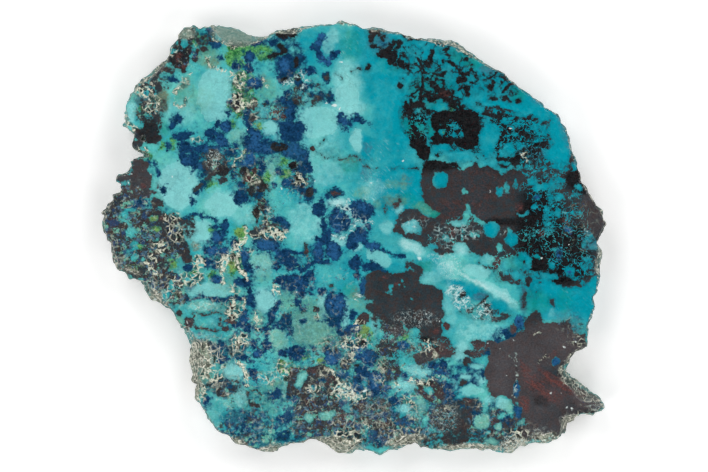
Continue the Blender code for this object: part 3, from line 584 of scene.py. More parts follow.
matrix = patch_levels([
    # upper left corner
    (180, 60, 9, 9), (184, 42, 17, 9, 0, 0.7), (166, 63, 13, 5, -40, 0.8), (186, 53, 5, 4), (196, 52, 4, 3),
    (194, 58, 4, 4), (204, 50, 5, 2), (183, 70, 3, 3), (168, 70, 6, 3, 20), (160, 70, 5, 4),
    (155, 75, 5, 3), (154, 82, 6, 5), (145, 84, 5, 3), (158, 88, 3, 5), (152, 92, 3, 4),
    (190, 32, 8, 4, 0, 0.6), (236, 42, 5, 4, 0, 0.6), (291, 30, 6, 2),
    # left end
    (150, 113, 10, 12, 0, 0.4), (149, 130, 7, 8), (153, 138, 8, 5), (140, 135, 6, 7), (137, 145, 5, 5),
    (158, 122, 4, 12, 0, 0.5), (140, 165, 9, 7), (140, 180, 12, 12), (143, 190, 10, 8), (122, 178, 8, 4.5),
    (157, 186, 2.5, 2.5), (154, 193, 3, 1.5), (118, 207, 8, 7, 0, 0.8), (125, 202, 5, 3), (157, 203, 6, 5),
    (132, 268, 20, 8, 25, 1.2), (110, 245, 8, 20, 0, 1.0), (128, 240, 24, 18, 0, 2.2),
    (148, 262, 20, 14, 30, 1.2), (112, 210, 12, 16, 0, 1.2), (150, 225, 22, 16, 0, 1.8),
    (168, 240, 16, 14, 0, 1.2), (168, 285, 18, 14, 40, 1.2), (130, 192, 18, 8, 0, 1.2), (110, 222, 5, 6),
    (118, 231, 9, 10), (141, 220, 8, 9), (157, 235, 5, 2.5), (147, 244, 9, 6), (126, 249, 8, 6),
    (180, 250, 10, 8), (187, 257, 6, 5), (175, 228, 8, 14, 0, 0.5), (183, 222, 3, 4),
    (213, 163, 9, 13, 0, 0.9), (222, 171, 6, 6), (127, 262, 6, 5), (156, 281, 8, 7),
    (172, 295, 14, 10, 0, 0.8), (180, 313, 4, 3), (163, 265, 7, 6, 0, 0.5), (163, 105, 4, 5, 0, 0.3),
    (190, 228, 6, 10, 0, 0.2),
    # top
    (285, 34, 11, 5, 0, 1.2), (280, 46, 4, 3), (297, 62, 3, 8), (285, 79, 4, 3), (298, 77, 3, 3),
    (326, 78, 3, 3.5), (280, 146, 9, 4, 0, 0.8), (253, 117, 5, 6), (245, 172, 5, 5), (247, 178, 5, 3),
    (255, 172, 3, 6), (262, 187, 6, 5), (251, 190, 4, 5), (256, 180, 7, 6, 0, 0.4), (222, 181, 6, 3),
    (210, 179, 6, 3, 0, 0.5), (283, 115, 3, 4), (313, 148, 3, 2.5, 0, 1), (294, 166, 5, 6),
    (297, 175, 4, 5), (300, 182, 7, 4), (309, 193, 4, 5), (335, 193, 4, 2), (257, 212, 3, 8),
    (262, 203, 4, 5), (270, 226, 12, 3), (255, 233, 6, 5), (307, 253, 2, 3.5), (306, 246, 2, 3),
    (233, 256, 3, 3.5), (236, 102, 5, 8, 0, 0.4), (252, 104, 5, 6, 0, 0.4),
    # upper right, small islands
    (371, 37, 3, 5), (375, 32, 6, 3), (379, 34, 2, 4), (374, 46, 2.5, 3), (377, 48, 3, 1.5),
    (385, 54, 9, 4.5), (391, 49, 3, 4), (393, 55, 4, 6), (391, 61, 3.5, 4), (394, 42, 2.5, 2.5),
    (402, 65, 3, 4), (399, 60, 2, 2), (397, 66, 3, 2.5), (405, 49, 2, 1.2), (409, 67, 2.5, 4),
    (415, 65, 4, 2), (428, 63, 4, 2.5), (432, 57, 2.5, 7), (411, 38, 3, 2), (418, 39, 3.5, 2.5),
    (405, 36, 2, 2), (445, 49, 5, 2, -10), (450, 57, 1.5, 3), (449, 62, 2, 2), (444, 62, 1.5, 2.5),
    (403, 79, 2, 1.5), (401, 86, 3, 3.5), (434, 75, 3, 3), (437, 74, 3, 3), (443, 74, 5, 2),
    (436, 79, 3, 2), (434, 84, 3.5, 2), (444, 87, 4, 1.5), (437, 91, 3.5, 2), (445, 94, 6, 4),
    (452, 92, 2, 2), (430, 100, 3, 4), (410, 101, 1.5, 3), (413, 104, 2, 3), (428, 67, 3, 1.5),
    (457, 80, 2, 3), (467, 59, 3, 2.5), (460, 82, 3.5, 4), (464, 82, 2, 2), (466, 89, 3.5, 4),
    (468, 94, 3, 3.5), (472, 83, 3, 2), (490, 87, 3, 2), (493, 84, 1.5, 2), (501, 82, 2, 2),
    (505, 98, 3.5, 3), (510, 101, 2, 1.5), (493, 98, 4, 2.5), (519, 101, 2.2, 2.2), (478, 104, 3, 1.5),
    (359, 69, 3, 1.5, 0, 0.7), (367, 68, 3, 3, 0, 0.7), (353, 72, 1.5, 1.5, 0, 0.7),
    (352, 157, 4, 1.6, 0, 0.7), (338, 158.5, 2, 1.6, 0, 0.6), (414, 169, 3, 1.2), (406, 106, 2.3, 3),
    (419, 104, 2.5, 4), (409, 117, 3, 2.5), (428, 111, 3, 3), (417, 125, 9, 8, 0, 1.0),
    (386, 208, 2.5, 4, 0, 0.4), (396, 206, 2.5, 3, 0, 0.4), (399, 201, 1.5, 4, 0, 0.5),
    # upper right, the black mass and its arms
    (418, 140, 9, 10), (424, 153, 7, 7), (440, 118, 10, 6), (450, 115, 10, 6), (450, 129, 15, 13, 0, 1.0),
    (436, 124, 4, 5), (447, 123, 6, 4), (445, 140, 11, 6), (436, 137, 5, 4), (438, 155, 2, 2),
    (457, 155, 2, 2), (440, 165, 16, 5), (465, 118, 16, 9), (467, 138, 13, 12), (472, 128, 10, 12),
    (476, 165, 3, 4), (506, 133, 4, 3.5), (502, 136, 3, 3), (522, 131, 2.8, 4), (504, 165, 5, 3),
    (517, 163, 4, 5), (519, 155, 3, 4), (522, 158, 3, 2), (532, 153, 12, 7, 0, 0.5), (542, 156, 1.5, 2),
    (536, 157, 1.5, 1.5), (537, 121, 3, 2.5), (547, 128, 1.2, 3.5, 30), (542, 137, 2.5, 1.2),
    (548, 135, 1.5, 1.5), (532, 130, 1.5, 2), (543, 164, 2, 1.2), (552, 169, 2, 1.5), (552, 173, 1.5, 1.5),
    (572, 158, 2, 5), (570, 168, 3, 3), (550, 123, 1.2, 3),
    # right of the middle
    (445, 190, 24, 24), (480, 193, 32, 26), (427, 180, 6, 20), (515, 205, 22, 36), (540, 215, 26, 32),
    (572, 212, 30, 42), (585, 200, 18, 14), (470, 225, 36, 18), (500, 243, 33, 16), (540, 248, 26, 22),
    (575, 250, 24, 26), (565, 262, 12, 6), (556, 271, 9, 5), (563, 281, 12, 4.5, 10), (577, 285, 6, 3),
    (432, 228, 7, 10), (442, 234, 14, 12), (446, 247, 14, 7), (417, 268, 9, 4, 45), (408, 265, 2.5, 4),
    (497, 262, 4, 7), (506, 278, 5, 3), (529, 283, 3, 6), (524, 300, 2, 9, 0, 0.6), (552, 303, 2, 3, -30),
    (582, 175, 8, 10), (595, 222, 12, 14), (598, 235, 6, 9), (594, 262, 4, 12),
    # the boot below the middle
    (385, 295, 20, 24), (400, 295, 26, 20), (425, 300, 18, 16), (420, 318, 22, 20), (432, 315, 11, 22),
    (395, 320, 22, 12), (408, 278, 11, 8), (378, 281, 12, 11), (372, 303, 6, 10), (374, 288, 9, 14),
    (431, 332, 11, 10), (390, 333, 14, 8), (428, 340, 8, 4), (447, 327, 3, 3), (364, 319, 6, 6),
    (332, 286, 2.5, 3), (316, 309, 2, 3), (303, 311, 2.5, 1.8), (316, 316, 1.5, 2.5), (463, 294, 3, 2.5),
    (495, 320, 4, 3), (506, 316, 4, 3), (513, 329, 3.5, 5), (388, 348, 10, 10), (392, 370, 8, 11, 0, 1.2),
    (361, 343, 5, 4), (346, 364, 5, 6), (357, 366, 4, 2.5),
    # bottom left
    (189, 323, 5, 5), (231, 322, 5, 3), (224, 329, 4, 3), (231, 317, 2.5, 2.5), (238, 345, 3, 4),
    (237, 343, 2, 6), (222, 392, 6, 3), (300, 380, 13, 13), (318, 373, 12, 8), (327, 381, 12, 7),
    (300, 392, 13, 4), (325, 392, 8, 5, 0, 0.8), (320, 410, 26, 13), (320, 422, 26, 9), (340, 418, 12, 10),
    (307, 402, 8, 6), (360, 406, 7, 7), (370, 420, 10, 5), (378, 412, 14, 14, 0, 0.3),
    (345, 428, 20, 8, 0, 0.2), (385, 428, 12, 8, 0, 0.6),
    # bottom right
    (440, 352, 15, 8), (425, 356, 12, 6), (421, 362, 6, 4), (441, 343, 9, 6, 0, 0.6), (480, 344, 8, 4.5),
    (491, 347, 9, 6), (476, 353, 8, 5), (468, 352, 4, 3), (467, 362, 6, 4), (432, 391, 10, 10),
    (437, 397, 9, 8), (423, 391, 7, 5), (428, 398, 6, 3, 25), (463, 383, 3, 2), (467, 399, 4, 4),
    (470, 403, 8, 4, 0, 0.8), (463, 421, 10, 11), (445, 418, 16, 14, 0, 1.0), (455, 438, 14, 10, 0, 1.0),
    (494, 421, 4, 4), (535, 327, 10, 15), (550, 345, 36, 22), (520, 350, 22, 13), (565, 335, 22, 14),
    (505, 375, 20, 30), (530, 375, 34, 34), (545, 400, 36, 28), (520, 400, 16, 30), (548, 420, 26, 16),
    (530, 428, 22, 12), (575, 400, 14, 10), (583, 410, 10, 5), (500, 436, 16, 10, 0, 0.5),
    (498, 424, 20, 14, 0, 0.1), (466, 406, 14, 6, 0, 0.2), (592, 405, 12, 8),
])
matrix_seams = vein_levels([
    (1.4, (188.5, 33), (188.5, 50)), (2.0, (270, 57), (278, 53), (284, 49)),
    (0.4, (336, 74), (341, 77), (343, 82)), (1.2, (385, 33), (383, 37), (380, 39)),
    (1.5, (417, 58), (420, 62), (421, 68), (421, 74)),
    (2.2, (422, 78), (423, 86), (422, 92), (420, 99), (421, 105)),
    (2.0, (425, 97), (431, 98), (438, 97), (443, 95)),
    (1.6, (450, 62), (455, 67), (459, 72), (463, 76), (465, 79)), (1.4, (457, 90), (462, 88)),
    (1.3, (488, 79), (493, 77), (497, 74)), (1.8, (514, 82), (510, 86), (506, 90), (504, 94)),
    (1.6, (450, 94), (452, 99), (454, 104), (453, 108)),
    (0.1, (336, 160), (345, 158), (352, 157), (358, 159), (363, 160)),
    (0.4, (362, 163), (367, 166), (371, 169), (375, 170), (378, 168)),
    (0.4, (391, 169), (395, 168), (400, 167), (405, 169)), (0.3, (317, 145), (322, 142), (327, 139)),
    (0.5, (316, 150), (322, 154), (328, 158), (332, 157)), (1.8, (411, 100), (413, 104), (416, 107)),
    (2.2, (412, 116), (418, 119), (424, 119)), (1.8, (481, 113), (488, 115), (494, 117), (498, 116)),
    (1.6, (498, 113), (500, 118), (497, 121)), (1.4, (500, 115), (510, 116), (517, 117), (524, 118)),
    (2.0, (492, 121), (496, 124), (500, 125), (504, 128), (507, 130)),
    (1.8, (505, 128), (509, 130), (512, 132)), (2.0, (501, 140), (505, 141), (503, 145)),
    (1.8, (508, 134), (512, 138), (516, 139)),
    (1.8, (517, 139), (524, 140), (529, 143), (533, 145), (540, 146), (546, 143)),
    (1.8, (500, 140), (498, 147), (497, 155), (497, 163)),
    (2.2, (500, 158), (506, 158), (511, 160), (514, 162)),
    (0.8, (266, 105), (270, 108), (272, 113), (268, 119)), (1.0, (272, 113), (280, 112), (286, 108)),
    (0.6, (268, 119), (275, 119), (283, 119)), (2.0, (197, 190), (201, 185)),
    (1.4, (258, 200), (257, 210), (256, 222)), (1.5, (262, 205), (265, 215), (268, 224)),
    (5.0, (399, 229), (401, 221), (407, 215), (415, 214), (423, 219), (426, 228), (425, 240)),
    (2.6, (400, 230), (406, 235), (414, 237), (424, 240)),
    (1.6, (480, 262), (486, 267), (491, 269), (498, 268)), (1.4, (512, 276), (516, 281), (520, 284)),
    (1.4, (498, 272), (503, 279), (510, 275)),
    (1.3, (466, 311), (472, 312), (477, 306), (483, 301), (487, 296)),
    (1.3, (488, 312), (493, 318), (500, 320), (506, 317)),
    (0.8, (192, 315), (194, 313), (200, 314), (206, 315), (216, 313), (220, 314)),
    (0.9, (194, 315), (194, 322), (195, 327)),
    (1.2, (196, 328), (203, 327), (209, 330), (220, 331), (228, 328)), (1.0, (220, 317), (220, 326)),
    (1.4, (231, 303), (232, 310)), (2.5, (296, 371), (292, 380), (290, 388), (297, 391)),
    (1.0, (248, 391), (256, 391), (261, 394)), (1.2, (247, 393), (248, 399), (252, 404), (259, 406)),
    (1.6, (416, 380), (418, 386), (424, 394)),
])
round_windows = patch_levels([
    (184.5, 43, 3, 5.5), (177, 43, 1.5, 4), (194, 45, 3, 6), (168, 64.5, 4, 2.5), (131, 112, 5, 10),
    (155, 153, 8, 5), (148, 158, 5, 4), (164, 130, 2.5, 6), (153, 187, 4, 5), (124, 214, 5, 4.5),
    (128, 210, 6, 3), (131, 232, 5, 6), (154, 218, 5, 3.5), (157, 229, 4, 3.5), (157, 239, 2.5, 2.5),
    (134, 243, 4, 4), (134, 258, 3.5, 4), (143, 260, 4, 3), (141, 246, 3, 3), (165, 295, 4, 7),
    (172, 286, 3, 6), (207, 322, 12, 6), (276, 116, 3, 2.5), (262, 216, 3, 5), (397, 67, 1.8, 1.2),
    (415, 124, 2.5, 3), (421, 128, 4, 3.5), (409, 129, 2, 1.5), (430, 124, 2.5, 8), (431, 133, 3, 6),
    (441, 107, 9, 5), (455, 127, 5, 2.5, 0, 0.4), (441, 133, 2.5, 3.5), (455, 136, 2, 3),
    (440, 148, 10, 4.5), (432, 155, 3, 4), (449, 155, 10, 3.5, 15), (457, 158, 6, 4), (440, 180, 8, 9),
    (462, 133, 2, 3), (456, 137, 2, 2.5), (461, 156, 14, 6), (489, 139, 9, 17, 5), (494, 163, 4, 4),
    (514, 134, 3, 2), (509, 149, 6.5, 7), (507, 162, 4, 2.5), (510, 168, 2.5, 3), (519, 167, 2.5, 3),
    (530, 183, 4, 3), (545, 187, 6, 4), (464, 191, 3, 4), (499, 192, 4.2, 5), (491, 230, 7.5, 8, 30),
    (512, 240, 6, 6.5), (510, 233, 2.5, 5), (461, 249, 9.5, 7), (457, 223, 7, 4, 10), (464, 222, 4, 2.5),
    (487, 260, 7, 6.5), (506, 265, 6, 6), (516, 263, 5, 8), (500, 248, 4, 5), (530, 235, 5, 3, 0, 0.6),
    (507, 188, 2, 5, 0, 0.3), (515, 185, 2, 5, 0, 0.5), (411, 227, 9, 7.5), (433, 246, 4, 3),
    (446, 238, 4, 3), (540, 187, 8, 4), (531, 182, 4, 4), (553, 195, 6, 14, 0, 0.3),
    (550, 215, 6, 15, 0, 0.3), (560, 198, 5, 4), (558, 214, 4, 5), (548, 229, 3, 7, 0, 0.3),
    (557, 183, 8, 6, 0, 0.6), (537, 197, 4, 3), (534, 207, 4, 3), (553, 264, 4, 4), (537, 257, 3, 3),
    (543, 228, 2, 1.5), (568, 229, 6, 4), (559, 254, 3.5, 7, 0, 0.2), (555, 250, 5, 2),
    (587, 240, 6, 10, 0, 0.3), (586, 263, 7, 7, 0, 0.6), (595, 246, 6, 5), (578, 187, 3, 3),
    (528, 262, 4, 8), (524, 256, 6, 4), (570, 272, 6, 6), (550, 276, 9, 3.5, 15), (516, 275, 5, 5),
    (565, 214, 4, 2, 0, 0.5), (576, 213, 5, 4, 0, 0.5), (575, 195, 4, 3, 0, 0.4), (414, 333, 6, 5),
    (392, 337, 3, 2.5), (390, 289, 2.5, 5), (399, 285, 1, 1), (368, 302, 5, 1.8),
    (412, 298, 2, 1.5, 0, 0.4), (380, 334, 4, 4), (379, 326, 3, 7), (404, 342, 8, 7), (309, 418, 5, 6),
    (328, 415.5, 9, 4.8, -14), (348, 408, 5, 5), (322, 379, 4, 3), (430, 391, 4.7, 4.2), (422, 405, 8, 7),
    (503, 403, 9, 8), (509, 407, 6, 7), (503, 416, 6, 3.5), (498, 427, 4.5, 4.5), (521, 423, 4, 3.5),
    (517, 428, 2, 2), (488, 400, 6, 4), (485, 406, 5, 6), (481, 421, 9, 10), (492, 441, 8, 3.5),
    (487, 434, 3, 3), (510, 414, 3.5, 3.5), (487, 353, 3, 3), (555, 361, 4.5, 4.5, 40), (516, 389, 3.5, 8),
    (518, 411, 4, 8), (473, 391, 14, 7), (483, 382, 6, 6), (466, 215, 4, 6), (585, 213, 1, 1),
    (553, 229, 4, 6, 0, 0.2), (425, 420, 6, 4), (581, 326, 10, 9, 0, 0.8), (575, 320, 9, 5, 0, 0.6),
])
long_windows = vein_levels([
    (2.0, (468, 205), (468, 212), (473, 216), (477, 221), (483, 224)),
    (1.2, (401, 321), (404, 326), (407, 331)), (1.0, (387, 292), (390, 295)), (1.0, (401, 282), (404, 286)),
    (4.4, (304, 374), (298, 384)), (1.8, (125, 256), (129, 251), (135, 248), (141, 249)),
    (2.0, (120, 220), (127, 221), (131, 227)), (1.2, (462, 228), (462, 240)), (1.6, (470, 233), (478, 236)),
    (1.2, (517, 214), (523, 217), (528, 212)),
])
windows = np.maximum(round_windows, long_windows)
lay("windows", windows)
lay("matrix", np.minimum(np.maximum(matrix, matrix_seams), -windows))

# Inside the black mass the turquoise shows through in ragged clearings, and in the lower right the matrix
# is a lighter, dusty grey.

lay("clearings", cloud_strengths([
    (530, 238, 16, 22, 0.7), (520, 252, 12, 12, 0.6), (562, 228, 34, 46, 0.8), (575, 262, 22, 16, 0.8),
    (468, 225, 30, 14, 0.5), (532, 190, 16, 14, 0.7), (442, 238, 20, 12, 0.6), (505, 262, 22, 14, 0.7),
    (418, 128, 12, 16, 0.9), (452, 130, 14, 11, 0.55), (515, 135, 34, 22, 0.8), (545, 165, 26, 20, 0.9),
    (545, 235, 16, 30, 0.6), (425, 290, 8, 8, 0.2), (440, 345, 30, 10, 0.5), (420, 335, 16, 12, 0.5),
    (130, 240, 30, 40, 0.5), (165, 285, 26, 18, 0.7, 30), (385, 350, 14, 24, 0.7), (330, 412, 50, 26, 0.5),
    (445, 420, 16, 14, 0.6), (505, 425, 34, 14, 0.6), (475, 350, 20, 10, 0.5), (575, 180, 14, 16, 0.4),
    (275, 110, 14, 12, 0.6), (300, 178, 14, 14, 0.6),
]))
lay("bleached", cloud_strengths([
    (508, 366, 34, 40, 0.8), (548, 345, 40, 24, 0.8), (545, 415, 40, 30, 0.6), (430, 352, 26, 14, 0.5),
    (140, 182, 22, 22, 0.5), (592, 215, 14, 24, 0.5), (588, 398, 20, 12, 1.0), (400, 335, 20, 8, 0.4),
]))

# The dark oxide is dusted through the stone near it, and runs as a fine black web through the deep teal.

lay("dark_dust", cloud_strengths([
    (118, 215, 16, 36, 0.95), (112, 245, 12, 20, 0.9), (130, 165, 10, 12, 0.8), (150, 268, 22, 10, 0.8, 30),
    (250, 440, 34, 10, 0.6), (330, 438, 40, 10, 0.85), (420, 440, 50, 10, 0.85), (540, 430, 30, 12, 0.9),
    (435, 88, 26, 24, 0.45), (405, 58, 24, 16, 0.5), (490, 86, 30, 14, 0.25, 20), (522, 138, 28, 20, 0.6),
    (534, 168, 22, 15, 0.55), (470, 152, 34, 12, 0.55), (445, 122, 32, 18, 0.75), (555, 205, 32, 40, 0.95),
    (572, 250, 28, 32, 0.85), (545, 265, 28, 12, 0.7), (150, 112, 16, 20, 0.75), (160, 238, 24, 32, 0.85),
    (168, 290, 26, 16, 0.85, 35), (120, 225, 16, 30, 0.7), (145, 84, 16, 10, 0.7, -30),
    (186, 46, 16, 16, 0.6), (213, 163, 16, 16, 0.8), (245, 176, 18, 10, 0.7), (258, 190, 16, 12, 0.7),
    (274, 112, 14, 9, 0.65), (240, 92, 12, 22, 0.6), (320, 385, 40, 18, 0.75), (330, 415, 45, 18, 0.75),
    (250, 415, 30, 14, 0.5), (225, 386, 22, 12, 0.75), (365, 415, 34, 20, 0.75), (386, 350, 16, 22, 0.75),
    (428, 352, 32, 12, 0.75), (440, 415, 22, 20, 0.8), (415, 425, 20, 14, 0.7), (480, 412, 24, 8, 0.6),
    (505, 430, 34, 12, 0.85), (482, 433, 22, 12, 0.85), (205, 41, 14, 8, 0.8), (165, 82, 8, 10, 0.7),
    (228, 162, 14, 12, 0.7), (280, 440, 24, 8, 0.5), (310, 325, 32, 26, 0.35), (255, 398, 16, 14, 0.55),
    (262, 215, 12, 20, 0.6), (268, 234, 22, 8, 0.8), (300, 180, 14, 10, 0.7), (340, 345, 20, 12, 0.6),
    (230, 310, 16, 14, 0.6), (222, 345, 24, 10, 0.5), (290, 160, 16, 20, 0.4), (440, 235, 26, 16, 0.75),
    (470, 225, 28, 14, 0.6), (505, 270, 18, 14, 0.5), (530, 285, 14, 18, 0.45), (355, 160, 24, 8, 0.25),
    (330, 152, 18, 6, 0.25), (388, 205, 18, 8, 0.4), (580, 390, 16, 14, 0.7), (575, 335, 16, 20, 0.75),
    (385, 440, 30, 10, 0.7), (200, 375, 12, 30, 0.5), (238, 345, 10, 12, 0.6), (205, 325, 16, 10, 0.5),
    (360, 335, 12, 12, 0.4), (180, 180, 16, 30, 0.15), (480, 300, 16, 14, 0.3), (405, 335, 14, 8, 0.6),
    (590, 240, 12, 20, 0.6),
]))
lay("black_web", cloud_strengths([
    (436, 92, 28, 24, 0.75), (400, 54, 24, 14, 0.6), (425, 68, 22, 10, 0.75), (415, 115, 16, 24, 0.9),
    (466, 78, 14, 22, 0.6, -20), (498, 84, 22, 14, 0.5, 15), (512, 117, 40, 7, 0.85, 14),
    (522, 140, 30, 18, 0.85), (533, 170, 24, 14, 0.8), (458, 130, 34, 26, 0.9), (450, 50, 30, 8, 0.35, 10),
    (555, 205, 34, 42, 1.0), (572, 255, 30, 32, 1.0), (545, 262, 30, 14, 0.7), (520, 270, 30, 16, 0.5),
    (270, 112, 16, 10, 0.5), (310, 95, 26, 14, 0.35), (480, 312, 24, 10, 0.3),
]))

# Pure black oxide instead of the duller grey, and rusty, reddish and brown oxide.

lay("black", cloud_strengths([
    (540, 232, 26, 52, 1.0), (560, 272, 30, 14, 1.0), (580, 180, 16, 14, 0.9), (575, 250, 18, 30, 0.9),
    (445, 130, 50, 34, 1.0), (425, 150, 22, 24, 1.0), (470, 130, 22, 30, 1.0), (505, 140, 50, 32, 0.9),
    (440, 165, 30, 6, 0.9), (505, 222, 22, 5, 0.8), (430, 75, 90, 55, 0.85), (500, 90, 40, 22, 0.8),
    (280, 55, 30, 40, 0.8), (300, 150, 30, 50, 0.8), (250, 190, 20, 30, 0.5), (180, 58, 14, 13, 0.6),
    (149, 132, 12, 12, 0.6), (233, 256, 4, 4, 1.0), (463, 294, 5, 4, 1.0), (477, 305, 14, 10, 0.8),
    (595, 215, 12, 16, 0.1), (542, 401, 9, 6, 0.45, 20), (427, 340, 8, 3, 0.8), (365, 366, 10, 4, 0.8),
    (222, 171, 6, 6, 0.6), (257, 212, 5, 12, 0.7), (529, 283, 4, 7, 0.5),
]))
lay("rust", cloud_strengths([
    (545, 386, 26, 13, 0.4, 20), (557, 381, 24, 4.2, 1.0, 36), (578, 394, 10, 3, 0.8, 30),
    (536, 385, 12, 3.6, 1.0, 30), (549, 396, 14, 3.6, 0.9, 38), (526, 372, 4, 14, 0.6, -20),
    (525, 404, 4, 8, 0.9, -25), (553, 354, 5, 3, 0.5), (478, 348, 10, 7, 0.35), (467, 399, 5, 5, 0.5),
    (443, 350, 12, 6, 0.4), (430, 394, 14, 9, 0.4), (178, 57, 3, 4, 0.8), (184, 66, 3, 3, 0.7),
    (176, 68, 3, 3, 0.6), (111, 225, 6, 6, 0.6), (143, 187, 3, 3, 0.7), (163, 217, 3, 3, 0.8),
    (137, 235, 4, 3, 0.5), (172, 298, 4, 5, 0.7), (445, 94, 6, 4, 0.25), (335, 193, 4, 2, 0.4),
    (307, 253, 3, 4, 0.3), (313, 149, 4, 3, 0.6), (287, 128, 3, 3, 0.6), (255, 174, 5, 7, 0.4),
    (247, 178, 5, 4, 0.5), (276, 114, 12, 7, 0.6), (453, 232, 4, 5, 0.7), (519, 207, 5, 5, 0.5),
    (542, 232, 3, 3, 0.8), (405, 232, 3, 3, 0.5), (424, 218, 4, 5, 0.4), (497, 263, 4, 6, 0.5),
    (447, 327, 3, 3, 0.8), (436, 331, 4, 3, 0.7), (395, 284, 3, 2, 0.7), (386, 277, 4, 2, 0.6),
    (364, 319, 6, 6, 0.35), (513, 329, 3, 5, 0.5), (396, 206, 3, 4, 0.25), (231, 320, 6, 6, 0.5),
    (224, 329, 6, 4, 0.4), (231, 305, 2, 5, 0.8), (310, 405, 6, 6, 0.4), (345, 420, 8, 8, 0.5),
    (330, 382, 8, 6, 0.3), (361, 407, 5, 6, 0.4), (383, 424, 6, 5, 0.5), (494, 421, 4, 4, 0.6),
    (300, 370, 18, 4, 0.4), (461, 210, 30, 16, 0.2), (596, 395, 10, 8, 0.25), (565, 222, 4, 3, 0.6),
    (480, 185, 40, 20, 0.15), (190, 324, 5, 6, 0.5), (205, 330, 14, 3, 0.2),
]))

# Cream lace: thin walls of pale porous silica with pores between, their darkness painted shade, as veins
# inside the slab and as the rind along its rim.  Towards the middle and the right it is bluish white.

lay("lace", vein_levels([
    (1.4, (139, 84), (148, 77), (156, 70), (163, 63)), (1.1, (171, 56), (177, 49)),
    (1.3, (134, 89), (142, 89), (149, 90), (153, 94), (157, 98), (159, 101), (158, 106)),
    (1.1, (137, 92), (143, 94), (148, 96), (151, 100), (155, 104)), (1.0, (150, 82), (153, 84), (152, 88)),
    (1.0, (175, 93), (179, 88), (184, 82), (188, 76), (191, 73)),
    (0.6, (174, 98), (175, 104), (180, 107), (186, 104), (187, 98)),
    (0.8, (207, 56), (208, 62), (212, 66), (218, 68), (224, 69)),
    (1.4, (124, 116), (126, 122), (131, 126), (135, 130)),
    (1.1, (139, 149), (144, 154), (148, 152), (146, 147)),
    (1.0, (213, 33), (215, 39), (218, 42), (224, 42), (229, 45), (232, 47.5), (236, 46), (241, 43)),
    (1.0, (241, 43), (246, 41), (252, 41), (257, 40), (258, 37)),
    (1.1, (230, 73), (234, 77), (236, 83), (240, 88)), (1.1, (241, 73), (246, 75), (244, 80), (242, 84)),
    (1.5, (232, 97), (237, 97), (240, 102), (243, 106)), (1.2, (233, 101), (236, 107), (239, 111)),
    (1.2, (244, 101), (249, 104), (255, 103)), (1.0, (263, 80), (265, 84), (268, 87)),
    (0.7, (210, 64), (215, 67), (220, 70), (226, 72), (230, 76)),
    (0.9, (283, 84), (289, 83), (293, 85), (292, 79)),
    (0.9, (297, 77), (302, 73), (304, 76), (308, 80), (306, 85), (300, 88)),
    (1.1, (278, 30), (285, 31), (294, 32), (300, 28), (306, 25)),
    (1.3, (432, 41), (445, 43), (455, 46), (460, 49), (470, 54), (478, 58)),
    (0.8, (245, 150), (240, 155), (236, 162), (235, 168)), (1.1, (251, 177), (256, 177), (258, 180)),
    (1.8, (299, 174), (301, 179), (305, 181)), (1.0, (165.5, 214), (165.5, 221)),
    (1.2, (150, 256), (156, 262)), (1.8, (147, 262), (152, 268), (157, 274), (162, 276)),
    (1.6, (245, 228), (246, 236), (241, 243)),
    (1.8, (247, 236), (242, 243), (237, 248), (231, 252), (225, 259), (218, 266)),
    (1.5, (238, 250), (237, 258), (237, 264), (241, 271), (246, 278)),
    (1.6, (225, 262), (221, 267), (222, 274), (224, 283)),
    (1.1, (262, 231), (268, 235), (275, 236), (281, 231), (284, 236)),
    (1.2, (255, 238), (262, 233), (266, 231)), (1.0, (272, 229), (278, 229), (282, 232)),
    (1.0, (281, 233), (281, 240)), (1.1, (229, 301), (229, 309), (233, 314), (237, 318)),
    (1.1, (234, 302), (236, 309), (237, 314), (236, 318)), (1.8, (244, 299), (244, 307)),
    (1.3, (235, 344), (235, 339), (238, 335), (242, 338), (245, 342)),
    (0.9, (275, 289), (277, 286), (279, 290), (278, 294)), (1.3, (256, 314), (256, 320), (258, 325)),
    (1.4, (256, 324), (258, 330)), (1.5, (237, 361), (243, 366), (245, 374), (247, 380), (246, 385)),
    (1.5, (206, 372), (212, 378), (220, 379), (222, 377)), (1.1, (355, 299), (359, 296), (362, 293)),
    (1.3, (356, 328), (356, 323), (360, 321), (364, 323)),
    (1.2, (338, 348), (344, 344), (350, 341), (358, 340), (364, 343), (362, 348)),
    (1.0, (347, 340), (352, 345), (357, 349)), (0.6, (306, 387), (310, 385), (315, 386), (319, 390)),
    (1.0, (307, 391), (312, 392), (316, 391)), (1.7, (340, 386), (346, 385), (351, 390), (352, 397)),
    (1.4, (340, 395), (348, 398), (355, 397), (362, 395)), (1.2, (352, 400), (357, 402), (361, 399)),
    (1.5, (330, 370), (335, 374), (338, 380), (340, 386)), (1.3, (352, 348), (353, 356), (350, 360)),
    (1.6, (412, 379), (420, 384), (427, 384), (431, 380)),
    (0.2, (516, 352), (516, 366), (516, 376), (515, 390), (514, 398)),
    (0.9, (560, 370), (565, 365), (571, 358), (578, 352), (585, 348)),
    (0.5, (538, 364), (542, 360), (547, 356)), (0.1, (534, 335), (537, 333), (541, 332)),
    (0.5, (501, 235), (506, 230)), (0.3, (508, 355), (512, 357)),
    (0.8, (333, 236), (343, 238), (350, 233), (357, 226), (366, 222), (373, 222)),
    (0.8, (348, 208), (352, 216), (358, 221)), (0.7, (349, 200), (347, 208), (338, 207)),
    (0.5, (522, 153), (526, 156), (527, 160)), (0.4, (583, 226), (587, 230), (590, 232)),
    (0.9, (440, 404), (445, 406), (448, 411)), (1.0, (392, 386), (396, 384), (399, 389)),
    (1.2, (402, 402), (408, 401), (414, 403)), (1.2, (428, 342), (430, 350)),
]))
